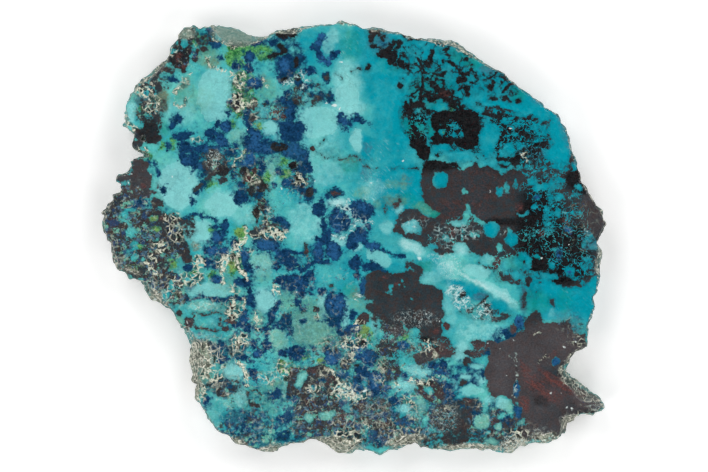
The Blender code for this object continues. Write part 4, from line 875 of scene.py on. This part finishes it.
lay("lace_zones", cloud_strengths([
    (142, 92, 9, 5, 0.9), (152, 108, 9, 6, 0.6), (160, 247, 9, 7, 0.9), (155, 243, 3, 3, 1.0),
    (175, 228, 9, 15, 0.7), (185, 281, 12, 8, 0.9), (197, 278, 8, 7, 0.9), (199, 263, 7, 8, 1.0),
    (197, 246, 4, 4, 0.5), (197, 140, 6, 3, 0.5), (213, 160, 9, 10, 0.15), (238, 82, 7, 9, 0.55),
    (238, 102, 9, 9, 0.75), (250, 104, 7, 6, 0.4), (254, 118, 6, 7, 0.3), (273, 234, 15, 7, 1.0),
    (255, 235, 8, 6, 0.6), (265, 215, 6, 10, 0.4), (251, 252, 4, 5, 0.6), (252, 179, 8, 6, 0.6),
    (300, 182, 8, 5, 0.6), (225, 262, 10, 10, 0.7), (234, 290, 6, 6, 0.7), (233, 310, 9, 11, 0.9),
    (240, 341, 9, 8, 0.9), (234, 350, 8, 6, 0.6), (277, 290, 4, 6, 0.7), (257, 319, 5, 9, 0.6),
    (316, 316, 4, 4, 0.6), (330, 345, 14, 9, 0.3), (355, 343, 16, 8, 0.9), (358, 297, 7, 5, 0.6),
    (347, 360, 7, 7, 0.5), (343, 392, 14, 10, 0.95), (362, 394, 9, 7, 0.8), (313, 389, 9, 6, 0.8),
    (284, 368, 10, 8, 0.7), (325, 372, 8, 6, 0.5), (300, 405, 10, 8, 0.15), (375, 412, 14, 14, 0.15),
    (410, 398, 10, 4, 0.6), (424, 382, 9, 5, 0.7), (413, 412, 6, 10, 0.35), (352, 424, 24, 8, 0.3),
    (385, 425, 16, 10, 0.2), (445, 418, 16, 14, 0.08), (382, 372, 5, 16, 0.4), (430, 350, 12, 9, 0.5),
    (440, 232, 8, 9, 0.35), (462, 233, 18, 9, 0.4), (450, 245, 10, 5, 0.3), (413, 222, 16, 6, 0.3),
    (455, 400, 8, 10, 0.1), (476, 404, 10, 6, 0.2), (528, 432, 16, 10, 0.12), (578, 342, 8, 6, 0.4),
    (183, 84, 5, 9, 0.35, 35), (214, 366, 12, 24, 0.6), (350, 222, 18, 12, 0.25),
    (234, 251, 18, 6, 0.9, -45), (201, 356, 13, 16, 1.0), (200, 385, 8, 20, 0.95), (455, 291, 9, 6, 0.8),
    (463, 303, 12, 7, 0.75, 20), (485, 309, 7, 8, 0.75), (345, 438, 16, 10, 0.9), (405, 433, 22, 7, 0.6),
    (516, 436, 14, 8, 0.8), (222, 395, 8, 10, 0.3), (268, 378, 14, 8, 0.3), (585, 386, 12, 8, 0.7, 30),
    (575, 420, 9, 9, 0.6), (592, 413, 8, 5, 0.4), (567, 372, 8, 12, 0.7), (167, 290, 16, 14, 0.35, 40),
    (154, 295, 6, 8, 0.9), (155, 285, 12, 9, 0.3), (205, 305, 18, 10, 0.2), (600, 262, 5, 16, 0.5),
]))
lay("crust", cloud_strengths([
    (186, 33, 10, 7, 0.6), (262, 36, 8, 3, 0.5), (345, 22, 14, 3, 0.7), (410, 34, 46, 3, 0.5, 8),
    (445, 39, 20, 3, 0.45, 15), (193, 354, 9, 15, 1.0), (204, 357, 10, 15, 0.75), (195, 385, 6, 16, 1.0),
    (155, 298, 7, 8, 0.8, 45), (270, 450, 12, 4, 1.0), (335, 446, 28, 9, 1.0), (405, 440, 20, 5, 1.0, -10),
    (470, 448, 36, 4, 1.0), (515, 446, 14, 9, 1.0), (548, 438, 18, 5, 0.8), (572, 422, 10, 8, 0.8),
    (599, 262, 3, 18, 0.5), (240, 445, 14, 5, 0.8, 30), (578, 382, 12, 5, 0.5, 40), (285, 446, 14, 4, 0.7),
    (130, 270, 12, 4, 0.4, 20),
]))
lay("frost", cloud_strengths([
    (350, 225, 34, 40, 1.0), (420, 190, 70, 90, 1.0), (480, 220, 60, 60, 1.0), (300, 85, 26, 18, 0.9),
    (560, 240, 60, 90, 1.0), (420, 320, 40, 16, 0.9), (375, 290, 24, 20, 0.6), (516, 370, 10, 40, 0.7),
    (465, 300, 40, 26, 1.0), (588, 393, 24, 12, 0.7, -8),
]))

# White flecks and single white grains.

lay("grains", patch_levels([
    (133, 165, 0.9, 0.6), (141, 160, 0.7, 0.9), (146, 168, 0.6, 0.8), (137, 177, 0.8, 0.6),
    (129, 181, 0.7, 0.7), (143, 172, 0.6, 0.6), (138, 187, 0.9, 0.6), (147, 181, 0.6, 0.9),
    (134, 171, 0.6, 0.6), (150, 164, 0.6, 0.9), (140, 193, 0.9, 0.6), (125, 176, 0.7, 0.6),
    (151, 175, 0.7, 0.7), (144, 199, 0.6, 0.6), (153, 190, 0.6, 0.8), (135, 137, 1, 1), (144, 141, 1, 1),
    (145, 146, 0.8, 0.8), (127, 183, 1, 0.8), (121, 188, 1, 0.8), (131, 173, 1, 0.8), (175, 168.5, 1, 1),
    (172, 177, 1, 1), (189.5, 177, 1, 1), (152, 280, 1.1, 1.1), (198, 307, 1.1, 1.1), (187, 323, 1, 1),
    (341, 63, 1.2, 1), (340, 53, 1, 1), (334, 106, 2.4, 1.6), (340, 109, 1.1, 1.9), (327, 104, 1.2, 0.8),
    (409, 117, 0.9, 0.9), (510.5, 128.5, 1.3, 1.1), (375, 140, 0.6, 0.6), (395, 145, 0.6, 0.6),
    (403, 160.5, 1, 0.8), (465, 181, 0.7, 1.1), (491, 191, 0.9, 0.9), (426, 315, 1.3, 1.6),
    (405, 320, 1, 0.8), (421, 320, 1, 0.8), (418, 327, 1, 0.8), (440, 321, 0.8, 1.1),
    (564, 347.5, 1.3, 1.3), (550, 393.5, 1.2, 1.2), (560, 393, 1, 1), (567.5, 407.5, 1, 1),
    (576, 342, 1, 1), (571, 409, 1, 1), (487, 344, 1, 1), (513, 340, 1.4, 1.1), (507, 376, 1, 0.8),
    (440, 377, 1.2, 1.2), (364, 390, 2, 1.4), (297, 293, 1, 1), (570, 244, 1.0, 1.0),
    (420, 257.5, 1.6, 1.3), (541, 258, 1.1, 1.1), (282, 189, 1.2, 1.6), (248, 129, 1, 1),
    (371, 183, 1.1, 1.3), (362, 199, 0.9, 0.9), (500, 349, 1.3, 1.1), (155, 298, 2, 2.4),
    (234, 256, 1, 0.8), (316, 181, 1, 1),
]))
lay("flecks", cloud_strengths([
    (455, 291, 10, 6, 0.6), (463, 303, 12, 7, 0.6, 20), (485, 309, 7, 8, 0.6), (477, 315, 5, 5, 0.6),
    (452, 268, 16, 12, 0.35, 20), (462, 276, 10, 5, 0.3, 30), (440, 258, 14, 6, 0.3),
    (372, 188, 14, 18, 0.12), (514, 445, 13, 12, 0.9), (416, 318, 24, 9, 0.3), (395, 334, 14, 8, 0.2),
    (445, 418, 16, 14, 0.28), (375, 412, 16, 14, 0.15), (540, 435, 16, 8, 0.2), (213, 160, 8, 10, 0.5),
    (345, 392, 12, 8, 0.4), (595, 404, 10, 8, 0.4), (490, 318, 8, 5, 0.3),
]))

# ---------------------------------------------------------------- the stone's material
# Every mineral is laid over the chrysocolla in the order it shows in the stone: bodies and stains,
# malachite, azurite, dark matrix, the medley of small cells, cream lace, crust and flecks.  The polish is
# the same all over the face; the sides and the sawn back are matt, and a smooth skin covers one rim.

slab_material = bpy.data.materials.new("polished_chrysocolla")
slab_material.use_nodes = True
tree = slab_material.node_tree


class Wire:
    """A socket of the material that can be added, multiplied and mixed like a number or a colour."""

    def __init__(self, socket):
        self.socket = socket

    @staticmethod
    def join(socket, value):
        if isinstance(value, Wire):
            tree.links.new(value.socket, socket)
        elif isinstance(value, (int, float)) and hasattr(socket.default_value, "__len__"):
            socket.default_value = [value] * len(socket.default_value)
        else:
            socket.default_value = value

    @staticmethod
    def node(kind, settings, sockets, output=0):
        """A new node: its settings first, then what goes into its sockets, by name or number."""
        made = tree.nodes.new(kind)
        for name, value in settings.items():
            setattr(made, name, value)
        for name, value in sockets.items():
            Wire.join(made.inputs[name], value)
        return Wire(made.outputs[output])

    @staticmethod
    def sum(operation, first, second):
        types = [value.socket.type for value in (first, second) if isinstance(value, Wire)]
        kind = "ShaderNodeVectorMath" if {"VECTOR", "RGBA"} & set(types) else "ShaderNodeMath"
        return Wire.node(kind, {"operation": operation}, {0: first, 1: second})

    def __add__(self, other):
        return Wire.sum("ADD", self, other)

    def __radd__(self, other):
        return Wire.sum("ADD", other, self)

    def __sub__(self, other):
        return Wire.sum("SUBTRACT", self, other)

    def __rsub__(self, other):
        return Wire.sum("SUBTRACT", other, self)

    def __mul__(self, other):
        return Wire.sum("MULTIPLY", self, other)

    def __rmul__(self, other):
        return Wire.sum("MULTIPLY", other, self)

    def size(self):
        return Wire.node("ShaderNodeMath", {"operation": "ABSOLUTE"}, {0: self})

    def most(self, other):
        return Wire.node("ShaderNodeMath", {"operation": "MAXIMUM"}, {0: self, 1: other})

    def least(self, other):
        return Wire.node("ShaderNodeMath", {"operation": "MINIMUM"}, {0: self, 1: other})

    def rise(self, low, high):
        """Zero below low, one above high, smooth between; high may be the lower one."""
        turned = {"interpolation_type": "SMOOTHSTEP"}
        return Wire.node("ShaderNodeMapRange", turned, {"Value": self, "From Min": low, "From Max": high})

    def cover(self, over, share):
        """This colour with another laid over it, as much as the share says."""
        return between(self, over, share)

    def lit(self, strength):
        """This colour made lighter or darker by a factor."""
        return Wire.node("ShaderNodeHueSaturation", {}, {"Value": strength, "Color": self})

    def red_part(self):
        return Wire.node("ShaderNodeSeparateColor", {}, {0: self}, 0)


def between(first, second, share):
    """A colour somewhere between two colours."""
    return Wire.node("ShaderNodeMix", {"data_type": "RGBA"}, {0: share, 6: first, 7: second}, 2)


def tone(red, green, blue):
    """A colour given as 0 to 255 on a screen, as light."""
    parts = [part / 255 for part in (red, green, blue)]
    light = [part / 12.92 if part <= 0.04045 else ((part + 0.055) / 1.055) ** 2.4 for part in parts]
    return (*light, 1.0)


def layer(name):
    """What lay() kept under this name."""
    return Wire.node("ShaderNodeAttribute", {"attribute_type": "GEOMETRY", "attribute_name": name}, {}, 2)


FAR_AWAY = 3000.0
NOISE_SPREAD = 6.5      # brings the noise, which is mostly 0.35 to 0.65, to about -1 to 1
PATTERN_STEP = 0.0013

in_squares = Wire.node("ShaderNodeTexCoord", {}, {}, 3) * (1 / SQUARE)
far_off = in_squares + FAR_AWAY


def grain(size, detail=2.0, pattern=0.0, place=far_off):
    """Cloudy noise around zero, mostly between -1 and 1, with grains of the given size in squares.

    The place is far from the middle, so that the slightly different scale of each numbered pattern makes
    it quite another one.
    """
    scale = (1 + PATTERN_STEP * pattern) / size
    sockets = {"Vector": place, "Scale": scale, "Detail": detail, "Roughness": 0.6}
    return Wire.node("ShaderNodeTexNoise", {}, sockets) * NOISE_SPREAD - NOISE_SPREAD / 2


def swayed(size, detail, sway):
    """Places pushed aside by noise, by up to half the sway either way."""
    sockets = {"Vector": in_squares, "Scale": 1 / size, "Detail": detail}
    return in_squares + (Wire.node("ShaderNodeTexNoise", {}, sockets, 1) - 0.5) * sway


def slanted(angle):
    """Places squeezed along one direction, which draws noise out into streaks five times as long."""
    sockets = {"Vector": far_off, "Rotation": (0.0, 0.0, angle), "Scale": (1.0, 5.0, 1.0)}
    return Wire.node("ShaderNodeMapping", {"vector_type": "TEXTURE"}, sockets)


def ragged(name, coarse=1.6, fine=0.9, pattern=0.0):
    """A mineral's level with its border made uneven, more so outside it, where fragments break off."""
    level = layer(name)
    loose = 1 + level.rise(1.0, -8.0) * 0.8
    return level + (grain(7.0, 2.0, pattern) * coarse + grain(2.4, 2.0, pattern + 1.0) * fine) * loose


def cloud(name, unevenness=0.2, size=8.0, pattern=0.0):
    """A cloud's strength, broken up by noise; nothing where the cloud isn't."""
    strength = layer(name)
    broken = strength + strength.rise(0.0, 0.3) * grain(size, 3.0, pattern) * unevenness
    return Wire.node("ShaderNodeClamp", {}, {0: broken})


def dust(name, size, pattern):
    """The level of loose grains: half the stone where the cloud is at its strongest, none outside it."""
    strength = layer(name)
    return grain(size, 3.0, pattern) * 1.1 + (strength * 3.2 - 2.7) - strength.rise(0.25, 0.0) * 4


def line(size, detail, pattern, half_width):
    """Fine wandering lines, one where the line is and zero away from it."""
    return grain(size, detail, pattern).size().rise(half_width, half_width * 0.2)


fine = grain(1.8, 2.0, 11.0)
middling = grain(5.0, 3.0, 23.0)
broad = grain(24.0, 3.0, 37.0)
bent_place = swayed(4, 2.0, 6.0)
curled_place = swayed(9, 1.0, 9.0)

# Chrysocolla: aqua with greener and bluer parts, cracked and mottled, streaked and dotted.

AQUA = tone(50, 168, 176)
LIGHT_AQUA = tone(98, 194, 186)
GREENISH = tone(92, 200, 168)
BLUISH = tone(60, 156, 186)
DEEP_TEAL = tone(0, 148, 166)
MOSS = tone(14, 136, 108)
BODY = tone(134, 210, 208)
SAGE = tone(104, 160, 134)
MILK = tone(134, 208, 208)
CHALK = tone(210, 238, 238)
SLATE = tone(70, 98, 120)
BROWN_STAIN = tone(108, 92, 62)
LIGHT_STREAK = tone(176, 230, 230)
TEAL_DOT = tone(6, 84, 98)
STREAK_ANGLE = 0.75

stone = between(AQUA, LIGHT_AQUA, broad.rise(-1.3, 1.3))
stone = stone.cover(GREENISH, grain(6.0, 3.0, 151.0).rise(0.2, 1.6) * 0.35)
stone = stone.cover(BLUISH, grain(6.0, 3.0, 157.0).rise(0.2, 1.6) * 0.30)
stone = stone.cover(DEEP_TEAL, cloud("teal", 0.12, 9.0, 3.0))
stone = stone.cover(MOSS, cloud("moss", 0.2, 6.0, 5.0) * 0.75)
body_level = ragged("bodies", 0.5, 0.4, 107.0)
stone = stone.cover(BODY, body_level.rise(-0.5, 0.6) * 0.6)
stone = stone.cover(SAGE, cloud("sage", 0.25, 4.0, 7.0) * 0.8)
stone = stone.cover(MILK, cloud("pale", 0.18, 6.0, 9.0) * 0.85)
stone = stone.cover(CHALK, cloud("chalk", 0.15, 3.0, 13.0) * 0.9)
stone = stone.cover(SLATE, cloud("slate", 0.25, 3.0, 15.0) * 0.8)
stone = stone.cover(BROWN_STAIN, cloud("stain", 0.35, 3.0, 109.0) * 0.75)
cells = Wire.node("ShaderNodeTexVoronoi", {}, {"Vector": in_squares + middling * 1.5, "Scale": 1 / 11}, 1)
cell_tint = cells.red_part() - 0.5
mottle = 1 + middling * 0.05 + fine * 0.065 + broad * 0.03 + cell_tint * 0.12
cracks = line(16.0, 5.0, 41.0, 0.14) * grain(20.0, 1.0, 45.0).rise(0.2, 1.2)
stone = stone.lit(mottle - cracks * 0.18)
streaks = grain(2.2, 3.0, 141.0, slanted(STREAK_ANGLE)).rise(0.2, 2.4)
streaks = streaks * grain(10.0, 2.0, 145.0).rise(-0.6, 0.8)
stone = stone.cover(LIGHT_STREAK, streaks * (0.12 + layer("streaked") * 0.75))
dots = (grain(4.0, 1.0, 57.0) + 0.3 * fine).rise(2.0, 2.5)
stone = stone.cover(TEAL_DOT, dots * 0.6)

# Malachite: fibrous green, lime in places, with dark hollows and a green halo in the stone around it.

MALACHITE = tone(30, 100, 56)
LIGHT_MALACHITE = tone(104, 180, 104)
LIME = tone(146, 174, 92)
MALACHITE_SHADE = tone(24, 52, 44)
GREEN_HALO = tone(70, 160, 120)

green = between(MALACHITE, LIGHT_MALACHITE, (middling * 0.7 + fine * 0.5).rise(-1.1, 1.1))
green = green.cover(LIME, cloud("lime", 0.4, 3.0, 17.0) * 0.7)
green = green.cover(MALACHITE_SHADE, grain(2.8, 3.0, 18.0).rise(0.0, 1.2) * 0.75)
green_level = ragged("malachite", 1.3, 1.0, 19.0)
stone = stone.cover(GREEN_HALO, green_level.rise(-4.0, 0.0) * 0.4)
stone = stone.cover(green, green_level.rise(-1.4, 1.0))

# Azurite: deep blue with royal blue hearts, dark hollows, and plum and light blue grains.

BLUE_HALO = tone(8, 96, 130)
AZURITE = tone(8, 44, 74)
LIGHT_AZURITE = tone(24, 70, 110)
ROYAL = tone(44, 100, 150)
AZURITE_SHADE = tone(6, 18, 36)
PLUM = tone(54, 44, 66)
BLUE_BLOOM = tone(80, 146, 170)

open_window = ragged("windows", 0.6, 0.5, 50.0) * -1.0
clear_of_bodies = open_window.least(0.6 - body_level)
blue_level = ragged("azurite", 1.1, 0.9, 29.0).most(dust("blue_dust", 4.5, 27.0).least(clear_of_bodies))
halo = blue_level.rise(-3.6, 0.8)
stone = stone.cover(BLUE_HALO, halo * halo * 0.55)
blue = between(AZURITE, LIGHT_AZURITE, (middling * 0.8 + fine * 0.6).rise(-1.2, 1.2))
blue = blue.cover(ROYAL, cloud("royal", 0.5, 3.0, 33.0) * 0.8)
blue = blue.cover(AZURITE_SHADE, grain(4.0, 4.0, 31.0).rise(0.1, 1.6) * 0.75)
blue = blue.cover(PLUM, grain(2.4, 2.0, 34.0).rise(0.8, 1.8) * 0.6)
blue = blue.cover(BLUE_BLOOM, grain(2.6, 3.0, 35.0).rise(0.9, 2.0) * 0.6)
stone = stone.cover(blue, blue_level.rise(-1.3, 1.1))

# Dark matrix: dusty grey with teal and light seams, black where it is pure oxide, with bands of rust.

WARM_GREY = tone(60, 53, 53)
COOL_GREY = tone(46, 58, 64)
BLEACHED = tone(88, 80, 82)
GREY_TEAL = tone(30, 72, 76)
GREY_SEAM = tone(110, 124, 124)
INK = tone(8, 6, 8)
WORN_INK = tone(34, 38, 40)
INK_RUST = tone(54, 28, 30)
INK_TEAL = tone(30, 110, 114)
RUST = tone(78, 48, 47)
LIGHT_RUST = tone(120, 76, 72)
DARK_HALO = tone(8, 70, 84)
RUST_ANGLE = 1.0

web = layer("black_web") * 0.55 - grain(11.0, 4.0, 44.0).size() + grain(12.0, 1.0, 46.0) * 0.3 - 0.12
web = (web * 2.4 - layer("black_web").rise(0.3, 0.0) * 4).most(dust("dark_dust", 3.2, 48.0))
clear_share = layer("clearings") * 1.4 - 1.6
clearing = (grain(6.0, 4.0, 54.0) + clear_share - 0.15).rise(0.0, 0.9).most(line(9.0, 3.0, 55.0, 0.11) * 0.8)
clearing = clearing * layer("clearings").rise(0.2, 0.9) * 9
dark_level = ragged("matrix", 0.7, 0.5, 43.0).most(web.least(open_window)) - clearing
speckle = fine * 0.6 + grain(1.2, 2.0, 47.0) * 0.5
grey = between(WARM_GREY, COOL_GREY, grain(5.0, 2.0, 60.0).rise(-1.2, 0.9))
grey = grey.cover(BLEACHED, layer("bleached") * 0.65).lit(1 + speckle * 0.26 + broad * 0.14)
grey = grey.cover(GREY_TEAL, grain(3.0, 2.0, 51.0).rise(1.0, 2.0) * 0.5)
grey = grey.cover(GREY_SEAM, line(12.0, 3.0, 56.0, 0.06) * grain(9.0, 1.0, 58.0).rise(0.4, 1.4) * 0.5)
ink = between(INK, WORN_INK, (middling * 0.5 + speckle).rise(-1.4, 1.6))
ink = ink.cover(INK_RUST, grain(3.0, 2.0, 59.0).rise(0.2, 1.6) * 0.6)
ink = ink.cover(INK_TEAL, grain(2.6, 2.0, 52.0).rise(1.2, 2.2) * 0.7)
dark = grey.cover(ink, cloud("black", 0.15, 6.0, 49.0))
rust = between(RUST, LIGHT_RUST, speckle.rise(-1.2, 1.2))
rusted = 0.35 + grain(2.2, 1.0, 172.0, slanted(RUST_ANGLE)).rise(-0.6, 0.8) * 0.65
dark = dark.cover(rust, cloud("rust", 0.3, 3.0, 53.0) * rusted)
stone = stone.cover(DARK_HALO, dark_level.rise(-3.5, 0.0) * 0.35)
stone = stone.cover(dark, dark_level.rise(-0.7, 0.6))

# Medley: small scraps of each mineral (colour, size in squares, how rare, pattern), then light cell walls
# and light and dark grit.

SCRAPS = [
    (tone(108, 186, 166), 9.0, 0.35, 161.0),
    (tone(78, 118, 142), 7.0, 0.3, 167.0),
    (tone(66, 58, 54), 8.0, 0.25, 165.0),
    (tone(40, 70, 108), 8.0, 0.25, 163.0),
    (tone(140, 172, 152), 4.0, 0.8, 169.0),
]
SCRAP_EDGE = 0.45
CELL_WALL = tone(190, 204, 184)
LIGHT_GRIT = tone(206, 206, 184)
DARK_GRIT = tone(26, 30, 38)

medley = layer("medley")
kept = medley.rise(0.0, 0.3) * clear_of_bodies.rise(-1.2, 0.6) * (0.78 - blue_level.rise(0.5, 2.5) * 0.5)
for colour, size, rarity, pattern in SCRAPS:
    share = (grain(size, 5.0, pattern) + medley - 1).rise(rarity, rarity + SCRAP_EDGE)
    stone = stone.cover(colour, share * kept)
stone = stone.lit(1 + speckle * medley * 0.2)
cell = {"Vector": bent_place, "Scale": 1 / 8.0}
cell_wall = Wire.node("ShaderNodeTexVoronoi", {"feature": "DISTANCE_TO_EDGE"}, cell).rise(0.10, 0.03)
cell_wall = cell_wall * medley * grain(7.0, 2.0, 171.0).rise(-0.2, 1.2)
stone = stone.cover(CELL_WALL, cell_wall * 0.5)
stone = stone.cover(LIGHT_GRIT, (grain(2.0, 2.0, 64.0) + medley - 1).rise(1.3, 2.0) * 0.8)
stone = stone.cover(DARK_GRIT, (grain(2.4, 2.0, 66.0) + medley - 1).rise(0.9, 1.8) * 0.65)

# Lace, crust and flecks: pale walls, cream or frosty, around pores darkened with painted shade, and white
# curls.

CREAM_SHADE = tone(124, 144, 120)
CREAM = tone(248, 246, 226)
FROST_SHADE = tone(70, 150, 160)
FROST = tone(206, 238, 238)
LACE_PORE_SHADE = tone(26, 28, 28)
RIND_SHADE = tone(96, 104, 90)
RIND = tone(190, 192, 172)
RIND_PORE_SHADE = tone(44, 38, 34)
RIND_WALL = tone(240, 238, 222)
WHITE_CURL = tone(226, 248, 246)
WHITE_GRAIN = tone(226, 238, 236)

pore_room = {"Vector": curled_place, "Scale": 1 / 6.0}
wall_gap = Wire.node("ShaderNodeTexVoronoi", {"feature": "DISTANCE_TO_EDGE"}, pore_room)
thread = wall_gap.rise(0.15, 0.05) * grain(6.0, 2.0, 61.0).rise(-1.2, 0.2)
# painted shade: the pores of the lace and the rind are darkened in the colour, while the face itself stays
# flat
pore_shade = Wire.node("ShaderNodeTexVoronoi", {}, pore_room, 1).red_part().rise(0.40, 0.6)
lace_level = ragged("lace", 0.6, 0.7, 73.0) - 0.5
lace_share = cloud("lace_zones", 0.35, 6.0, 71.0).most(lace_level.rise(-2.5, 0.0) * 0.9)
worn = (fine * 0.7 + grain(3.0, 2.0, 75.0) * 0.6).rise(-1.2, 0.9)
cream = between(CREAM_SHADE, CREAM, worn)
frosty = between(FROST_SHADE, FROST, worn)
cream = cream.cover(frosty, layer("frost") * 0.85)
# painted shade in the pores of the lace
stone = stone.cover(LACE_PORE_SHADE, lace_share * pore_shade * 0.85 * (1 - layer("frost") * 0.6))
stone = stone.cover(cream, lace_share * thread * 0.9)
stone = stone.cover(cream, (lace_level + grain(2.6, 2.0, 74.0) * 0.6).rise(-0.1, 1.0) * 0.85)
rind = between(RIND_SHADE, RIND, (fine * 0.6 + middling * 0.7).rise(-1.2, 1.4))
# painted shade in the pores of the rind
rind = rind.cover(RIND_PORE_SHADE, (pore_shade * 0.8 + grain(3.0, 2.0, 68.0) * 0.5).rise(0.5, 1.1) * 0.8)
rind = rind.cover(RIND_WALL, (fine * 0.5 + thread * 1.4).rise(0.8, 1.6))
crust_share = cloud("crust", 0.35, 3.0, 79.0)
stone = stone.cover(rind, crust_share)
splinter = (grain(2.2, 2.0, 83.0) + 0.4 * thread).rise(0.5, 1.2)
curls = (line(5.0, 3.0, 85.0, 0.20) * grain(6.0, 2.0, 87.0).rise(-0.6, 0.6)).most(splinter * 0.8)
stone = stone.cover(WHITE_CURL, cloud("flecks", 0.2, 5.0, 89.0) * curls)
stone = stone.cover(WHITE_GRAIN, ragged("grains", 0.15, 0.2, 97.0).rise(-0.3, 0.6) * 0.9)

# Broken sides, smooth skin and sawn back: the same stone, dulled by dust, with painted shade in its pits,
# and cream walls.

DULL = tone(104, 120, 112)
PIT_SHADE = tone(44, 44, 44)
SIDE_WALL = tone(226, 224, 208)
SKIN_SHADE = tone(100, 130, 120)
SKIN = tone(144, 168, 156)
SAWN = tone(120, 142, 140)
POLISHED = 0.13
BUMP_STRENGTH = 0.35
BUMP_HEIGHT = 0.0003
GLOSS = 0.35

side = layer("side")
back = layer("back")
dull_share = (middling * 0.5 + fine * 0.4 + broad * 0.4).rise(-1.2, 1.0)
dull = stone.cover(DULL, dull_share * (1 - crust_share * 0.7) * 0.8)
# painted shade: the pits of the broken sides are darkened in the colour
dull = dull.cover(PIT_SHADE, grain(4.0, 3.0, 101.0).rise(0.4, 1.4) * 0.7)
dull = dull.cover(SIDE_WALL, (grain(3.0, 3.0, 103.0) * 0.6 + thread * 1.2).rise(0.5, 1.6) * 0.8)
stone = stone.cover(dull, side)
smooth_skin = between(SKIN_SHADE, SKIN, (middling * 0.8 + fine * 0.4).rise(-1.2, 1.2))
stone = stone.cover(smooth_skin, cloud("skin", 0.12, 8.0, 111.0) * 0.85)
stone = stone.cover(SAWN, back * 0.45)

shader = next(node for node in tree.nodes if node.type == "BSDF_PRINCIPLED")
roughness = POLISHED + 0.05 * middling.rise(-1.0, 1.0) + side * 0.65 + back * 0.5
height = (fine * 0.6 + middling) * (side + back * 0.3)
bumps = {"Strength": BUMP_STRENGTH, "Distance": BUMP_HEIGHT, "Height": height}
Wire.join(shader.inputs["Base Color"], stone)
Wire.join(shader.inputs["Roughness"], roughness)
Wire.join(shader.inputs["Normal"], Wire.node("ShaderNodeBump", {}, bumps))
shader.inputs["Specular IOR Level"].default_value = GLOSS

# ---------------------------------------------------------------- the slab
# The stone in one piece: it rides on its one body and takes the place of the plain solid.  It lies loose,
# on its sawn back, with nothing that holds it.

slab = bpy.data.objects.new("polished_slab", slab_mesh)
bpy.context.scene.collection.objects.link(slab)
slab_mesh.materials.append(slab_material)
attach(slab, "root")
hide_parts("chrysocolla_slab")

# ---------------------------------------------------------------- floor, light and camera
# A plain pale floor, four soft lamps around the slab and nothing bright above it, so the polish stays
# clear.  The camera looks straight down.

FLOOR_REACH = 3.0
FLOOR_TONE = 0.95
FLOOR_GLOW = 0.20
LAMP_TURNS = (35, 125, 215, 305)
LAMP_AWAY = 0.80
LAMP_HEIGHT_ANGLE = 42.0
LAMP_SIZE = 0.55
LAMP_POWER = 2.60
SKY = 0.04
CAMERA_HEIGHT = 1.2
CAMERA_NEAR = 0.05
CAMERA_FAR = 20.0
SENSOR = 36.0
PICTURE_WIDTH = 708
PICTURE_MIDDLE = (354.0, 236.0)

reach = FLOOR_REACH
floor_corners = [(-reach, -reach, 0), (reach, -reach, 0), (reach, reach, 0), (-reach, reach, 0)]
floor_mesh = bpy.data.meshes.new("floor")
floor_mesh.from_pydata(floor_corners, [], [(0, 1, 2, 3)])
floor_material = bpy.data.materials.new("pale_floor")
floor_material.use_nodes = True
floor_shader = next(node for node in floor_material.node_tree.nodes if node.type == "BSDF_PRINCIPLED")
floor_shader.inputs["Base Color"].default_value = (FLOOR_TONE, FLOOR_TONE, FLOOR_TONE, 1.0)
floor_shader.inputs["Roughness"].default_value = 1.0
floor_shader.inputs["Specular IOR Level"].default_value = 0.0
floor_shader.inputs["Emission Color"].default_value = (1.0, 1.0, 1.0, 1.0)
floor_shader.inputs["Emission Strength"].default_value = FLOOR_GLOW
floor_mesh.materials.append(floor_material)
floor = bpy.data.objects.new("floor", floor_mesh)
bpy.context.scene.collection.objects.link(floor)

lamp_out = LAMP_AWAY * math.cos(math.radians(LAMP_HEIGHT_ANGLE))
lamp_up = LAMP_AWAY * math.sin(math.radians(LAMP_HEIGHT_ANGLE))
for turn in map(math.radians, LAMP_TURNS):
    lamp_data = bpy.data.lights.new("soft_lamp", "AREA")
    lamp_data.shape = "SQUARE"
    lamp_data.size = LAMP_SIZE
    lamp_data.energy = LAMP_POWER
    lamp = bpy.data.objects.new("soft_lamp", lamp_data)
    lamp.location = (lamp_out * math.cos(turn), lamp_out * math.sin(turn), lamp_up)
    lamp.rotation_mode = "QUATERNION"
    lamp.rotation_quaternion = (-lamp.location).to_track_quat("-Z", "Y")
    bpy.context.scene.collection.objects.link(lamp)

world = bpy.data.worlds.new("soft_room")
world.use_nodes = True
sky = next(node for node in world.node_tree.nodes if node.type == "BACKGROUND")
sky.inputs["Color"].default_value = (SKY, SKY, SKY, 1.0)
bpy.context.scene.world = world
bpy.context.scene.view_settings.view_transform = "Standard"

camera_data = bpy.data.cameras.new("camera")
camera_data.sensor_width = SENSOR
camera_data.lens = SENSOR * CAMERA_HEIGHT / (PICTURE_WIDTH * SQUARE)
camera_data.clip_start = CAMERA_NEAR
camera_data.clip_end = CAMERA_FAR
camera = bpy.data.objects.new("camera", camera_data)
camera.location = (
    (PICTURE_MIDDLE[0] - PAPER_MIDDLE[0]) * SQUARE,
    (PAPER_MIDDLE[1] - PICTURE_MIDDLE[1]) * SQUARE,
    top + CAMERA_HEIGHT,
)
bpy.context.scene.collection.objects.link(camera)
bpy.context.scene.camera = camera
